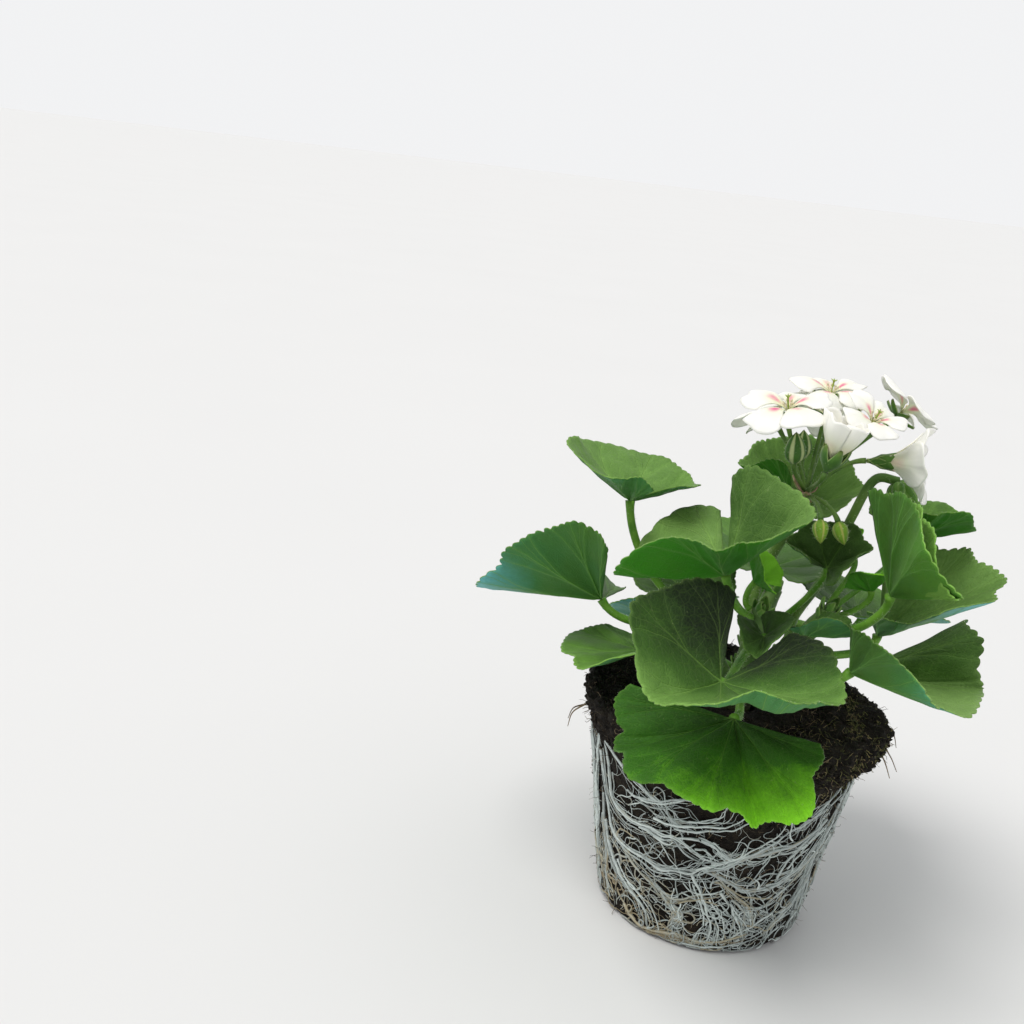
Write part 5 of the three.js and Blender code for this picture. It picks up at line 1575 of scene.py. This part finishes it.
def make_flower_head():
    """The tall stalk with its bracts, flower stalks, calyces and buds."""
    at, leave = start_on("centre", 0.88, (-12, 30, 150), PEDUNCLE_RADIUS)
    rise = unit(np.array([0.12, 0, 1]))
    peduncle = bowed(at, leave, UMBEL_BASE, rise, 26)
    stalk_hairs(peduncle, PEDUNCLE_RADIUS, STALK_HAIRS, 1.3)
    lines, parts = [(peduncle, PEDUNCLE_RADIUS * 0.97)], []

    def pedicel(to, arrive):
        away = unit(to - UMBEL_BASE)
        line = bowed(UMBEL_BASE, unit(away + (0, 0, 0.5)), to, arrive)
        run = np.linspace(0, 1, len(line))
        lines.append((line, PEDICEL_RADIUS * (0.95 + 0.35 * smoothstep(run, 0.7, 1))))
        stalk_hairs(line, PEDICEL_RADIUS, 70, 0.9)

    for floret in FLORETS:
        base, sepals = make_calyx(floret)
        parts += sepals
        pedicel(base, heading(*floret["facing"]))
    for k, bud in enumerate(BUDS):
        direction = heading(*bud["facing"])
        parts.append(make_bud(f"bud_{k}", bud["base"], direction, bud["length"], bud["radius"]))
        pedicel(np.array(bud["base"], float) + 0.8 * direction, direction)
    for k, (facing, length, radius) in enumerate(BRACTS):
        direction = heading(*facing)
        face = unit(np.cross(np.cross(direction, (0, 0, 1)), direction))
        for side in (-0.5, 0.5):
            aside = turned(direction, face, side)
            foot = UMBEL_BASE + aside * 1.5
            blade = scale_leaf(f"bract_{k}", foot, aside, face, length * 0.95, radius, 0.5, 0.2)
            parts.append(clothe(blade, BRACT))
    knob = make_bud("umbel_knob", UMBEL_BASE - rise * 3, rise, 6, 3.1, 7)
    parts.append(clothe(knob, BRACT))
    stalks = clothe(tubes("stalks", lines, 12), STALK)
    enrol(joined("flower_head", [stalks] + parts), "flower_stalks", "flower_head")


def make_nodding_head():
    """The hooked stalk with its cluster of tight buds."""
    at, leave = start_on("right", 0.55, (30, 60, 190), NODDING_STALK_RADIUS)
    hook = smooth_line([at, at + leave * 12, (31, 10, 160), (37, 12, 186), (44, 13, 204), NODDING_TIP], 10)
    stalk_hairs(hook, NODDING_STALK_RADIUS, STALK_HAIRS, 1.3)
    parts = [clothe(tubes("hooked_stalk", [(hook, NODDING_STALK_RADIUS * 0.86)], 12), STALK)]
    rng = np.random.default_rng(5)
    for k in range(TIGHT_BUDS):
        direction = unit(heading(GOLDEN_ANGLE * k, -75 + 9 * k) + (0.5, 0, -0.5))
        length = 11 + 3 * rng.uniform()
        # The tight buds wear the darker stipule green: partly their own colour and partly painted shade, as
        # they sit in shade behind the flowers.
        bud = make_bud(f"tight_bud_{k}", NODDING_TIP, direction, length, TIGHT_BUD_RADIUS, 5, 20, 10, STIPULE)
        parts.append(bud)
    enrol(joined("nodding_head", parts), "flower_stalks", "young_flower_head")


for floret in FLORETS:
    make_floret(floret)
make_flower_head()
make_nodding_head()
make_stems()


# Down on leaf rims and stalks

def make_down():
    """All the hairs as one piece."""
    deselect()
    bpy.ops.mesh.primitive_cone_add(vertices=3, radius1=1, radius2=0, depth=1, location=(0, 0, 0.5))
    model = bpy.context.object
    pick(model)
    bpy.ops.object.transform_apply(location=True)
    ob = strewn("down", model, hair_places)
    clothe(ob, DOWN)
    enrol(ob, "stem")


make_down()


# Camera, floor and light

CAMERA_PLACE = (0.0, -0.5, 0.317)
CAMERA_LENS = 42.19
CAMERA_PAN = -12.12
CAMERA_TILT = 16.5
CAMERA_ROLL = -6.55
FLOOR_SIZE = 60
SKY_LIGHT = 0.72
SKY_SEEN = 0.9
SUN_POWER = 1.95
SUN_SPREAD = 35
SUN_FROM = (-0.35, -0.35, 1.0)


def add_camera():
    pan, tilt, roll = (math.radians(a) for a in (CAMERA_PAN, CAMERA_TILT, CAMERA_ROLL))
    forward = Vector((math.sin(pan) * math.cos(tilt), math.cos(pan) * math.cos(tilt), -math.sin(tilt)))
    level = Vector((math.cos(pan), -math.sin(pan), 0))
    down = forward.cross(level)
    right = level * math.cos(roll) + down * math.sin(roll)
    lower = -level * math.sin(roll) + down * math.cos(roll)
    data = bpy.data.cameras.new("camera")
    data.lens = CAMERA_LENS
    data.sensor_width = 36
    camera = bpy.data.objects.new("camera", data)
    axes = Matrix((right, -lower, -forward)).transposed()
    camera.matrix_world = Matrix.Translation(CAMERA_PLACE) @ axes.to_4x4()
    bpy.context.collection.objects.link(camera)
    bpy.context.scene.camera = camera


def add_floor():
    deselect()
    bpy.ops.mesh.primitive_plane_add(size=FLOOR_SIZE)
    floor = bpy.context.object
    floor.name = "floor"
    look, g, bsdf = material("pale floor", Roughness=0.8)
    tint = g.mix(g.noise(g.place(), 3.0, 2.0), rgb(0.69, 0.69, 0.69), rgb(0.71, 0.71, 0.71))
    feed(g, bsdf, Base_Color=tint)
    clothe(floor, look)


def add_world():
    """White light from all round, and a brighter ground for what the camera sees."""
    world = bpy.data.worlds.new("studio")
    world.use_nodes = True
    g = Graph(world.node_tree)
    back = world.node_tree.nodes["Background"]
    back.inputs["Color"].default_value = rgb(0.985, 0.99, 1)
    seen = g.add("ShaderNodeLightPath").outputs["Is Camera Ray"]
    strength = g.scaled(seen, SKY_SEEN - SKY_LIGHT, SKY_LIGHT)
    world.node_tree.links.new(strength, back.inputs["Strength"])
    bpy.context.scene.world = world


def add_sun():
    data = bpy.data.lights.new("sun", "SUN")
    data.energy = SUN_POWER
    data.angle = math.radians(SUN_SPREAD)
    data.color = (1, 0.985, 0.95)
    lamp = bpy.data.objects.new("sun", data)
    lamp.rotation_euler = Vector(SUN_FROM).to_track_quat("Z", "Y").to_euler()
    bpy.context.collection.objects.link(lamp)


bpy.context.scene.view_settings.view_transform = "Standard"
add_camera()
add_floor()
add_world()
add_sun()
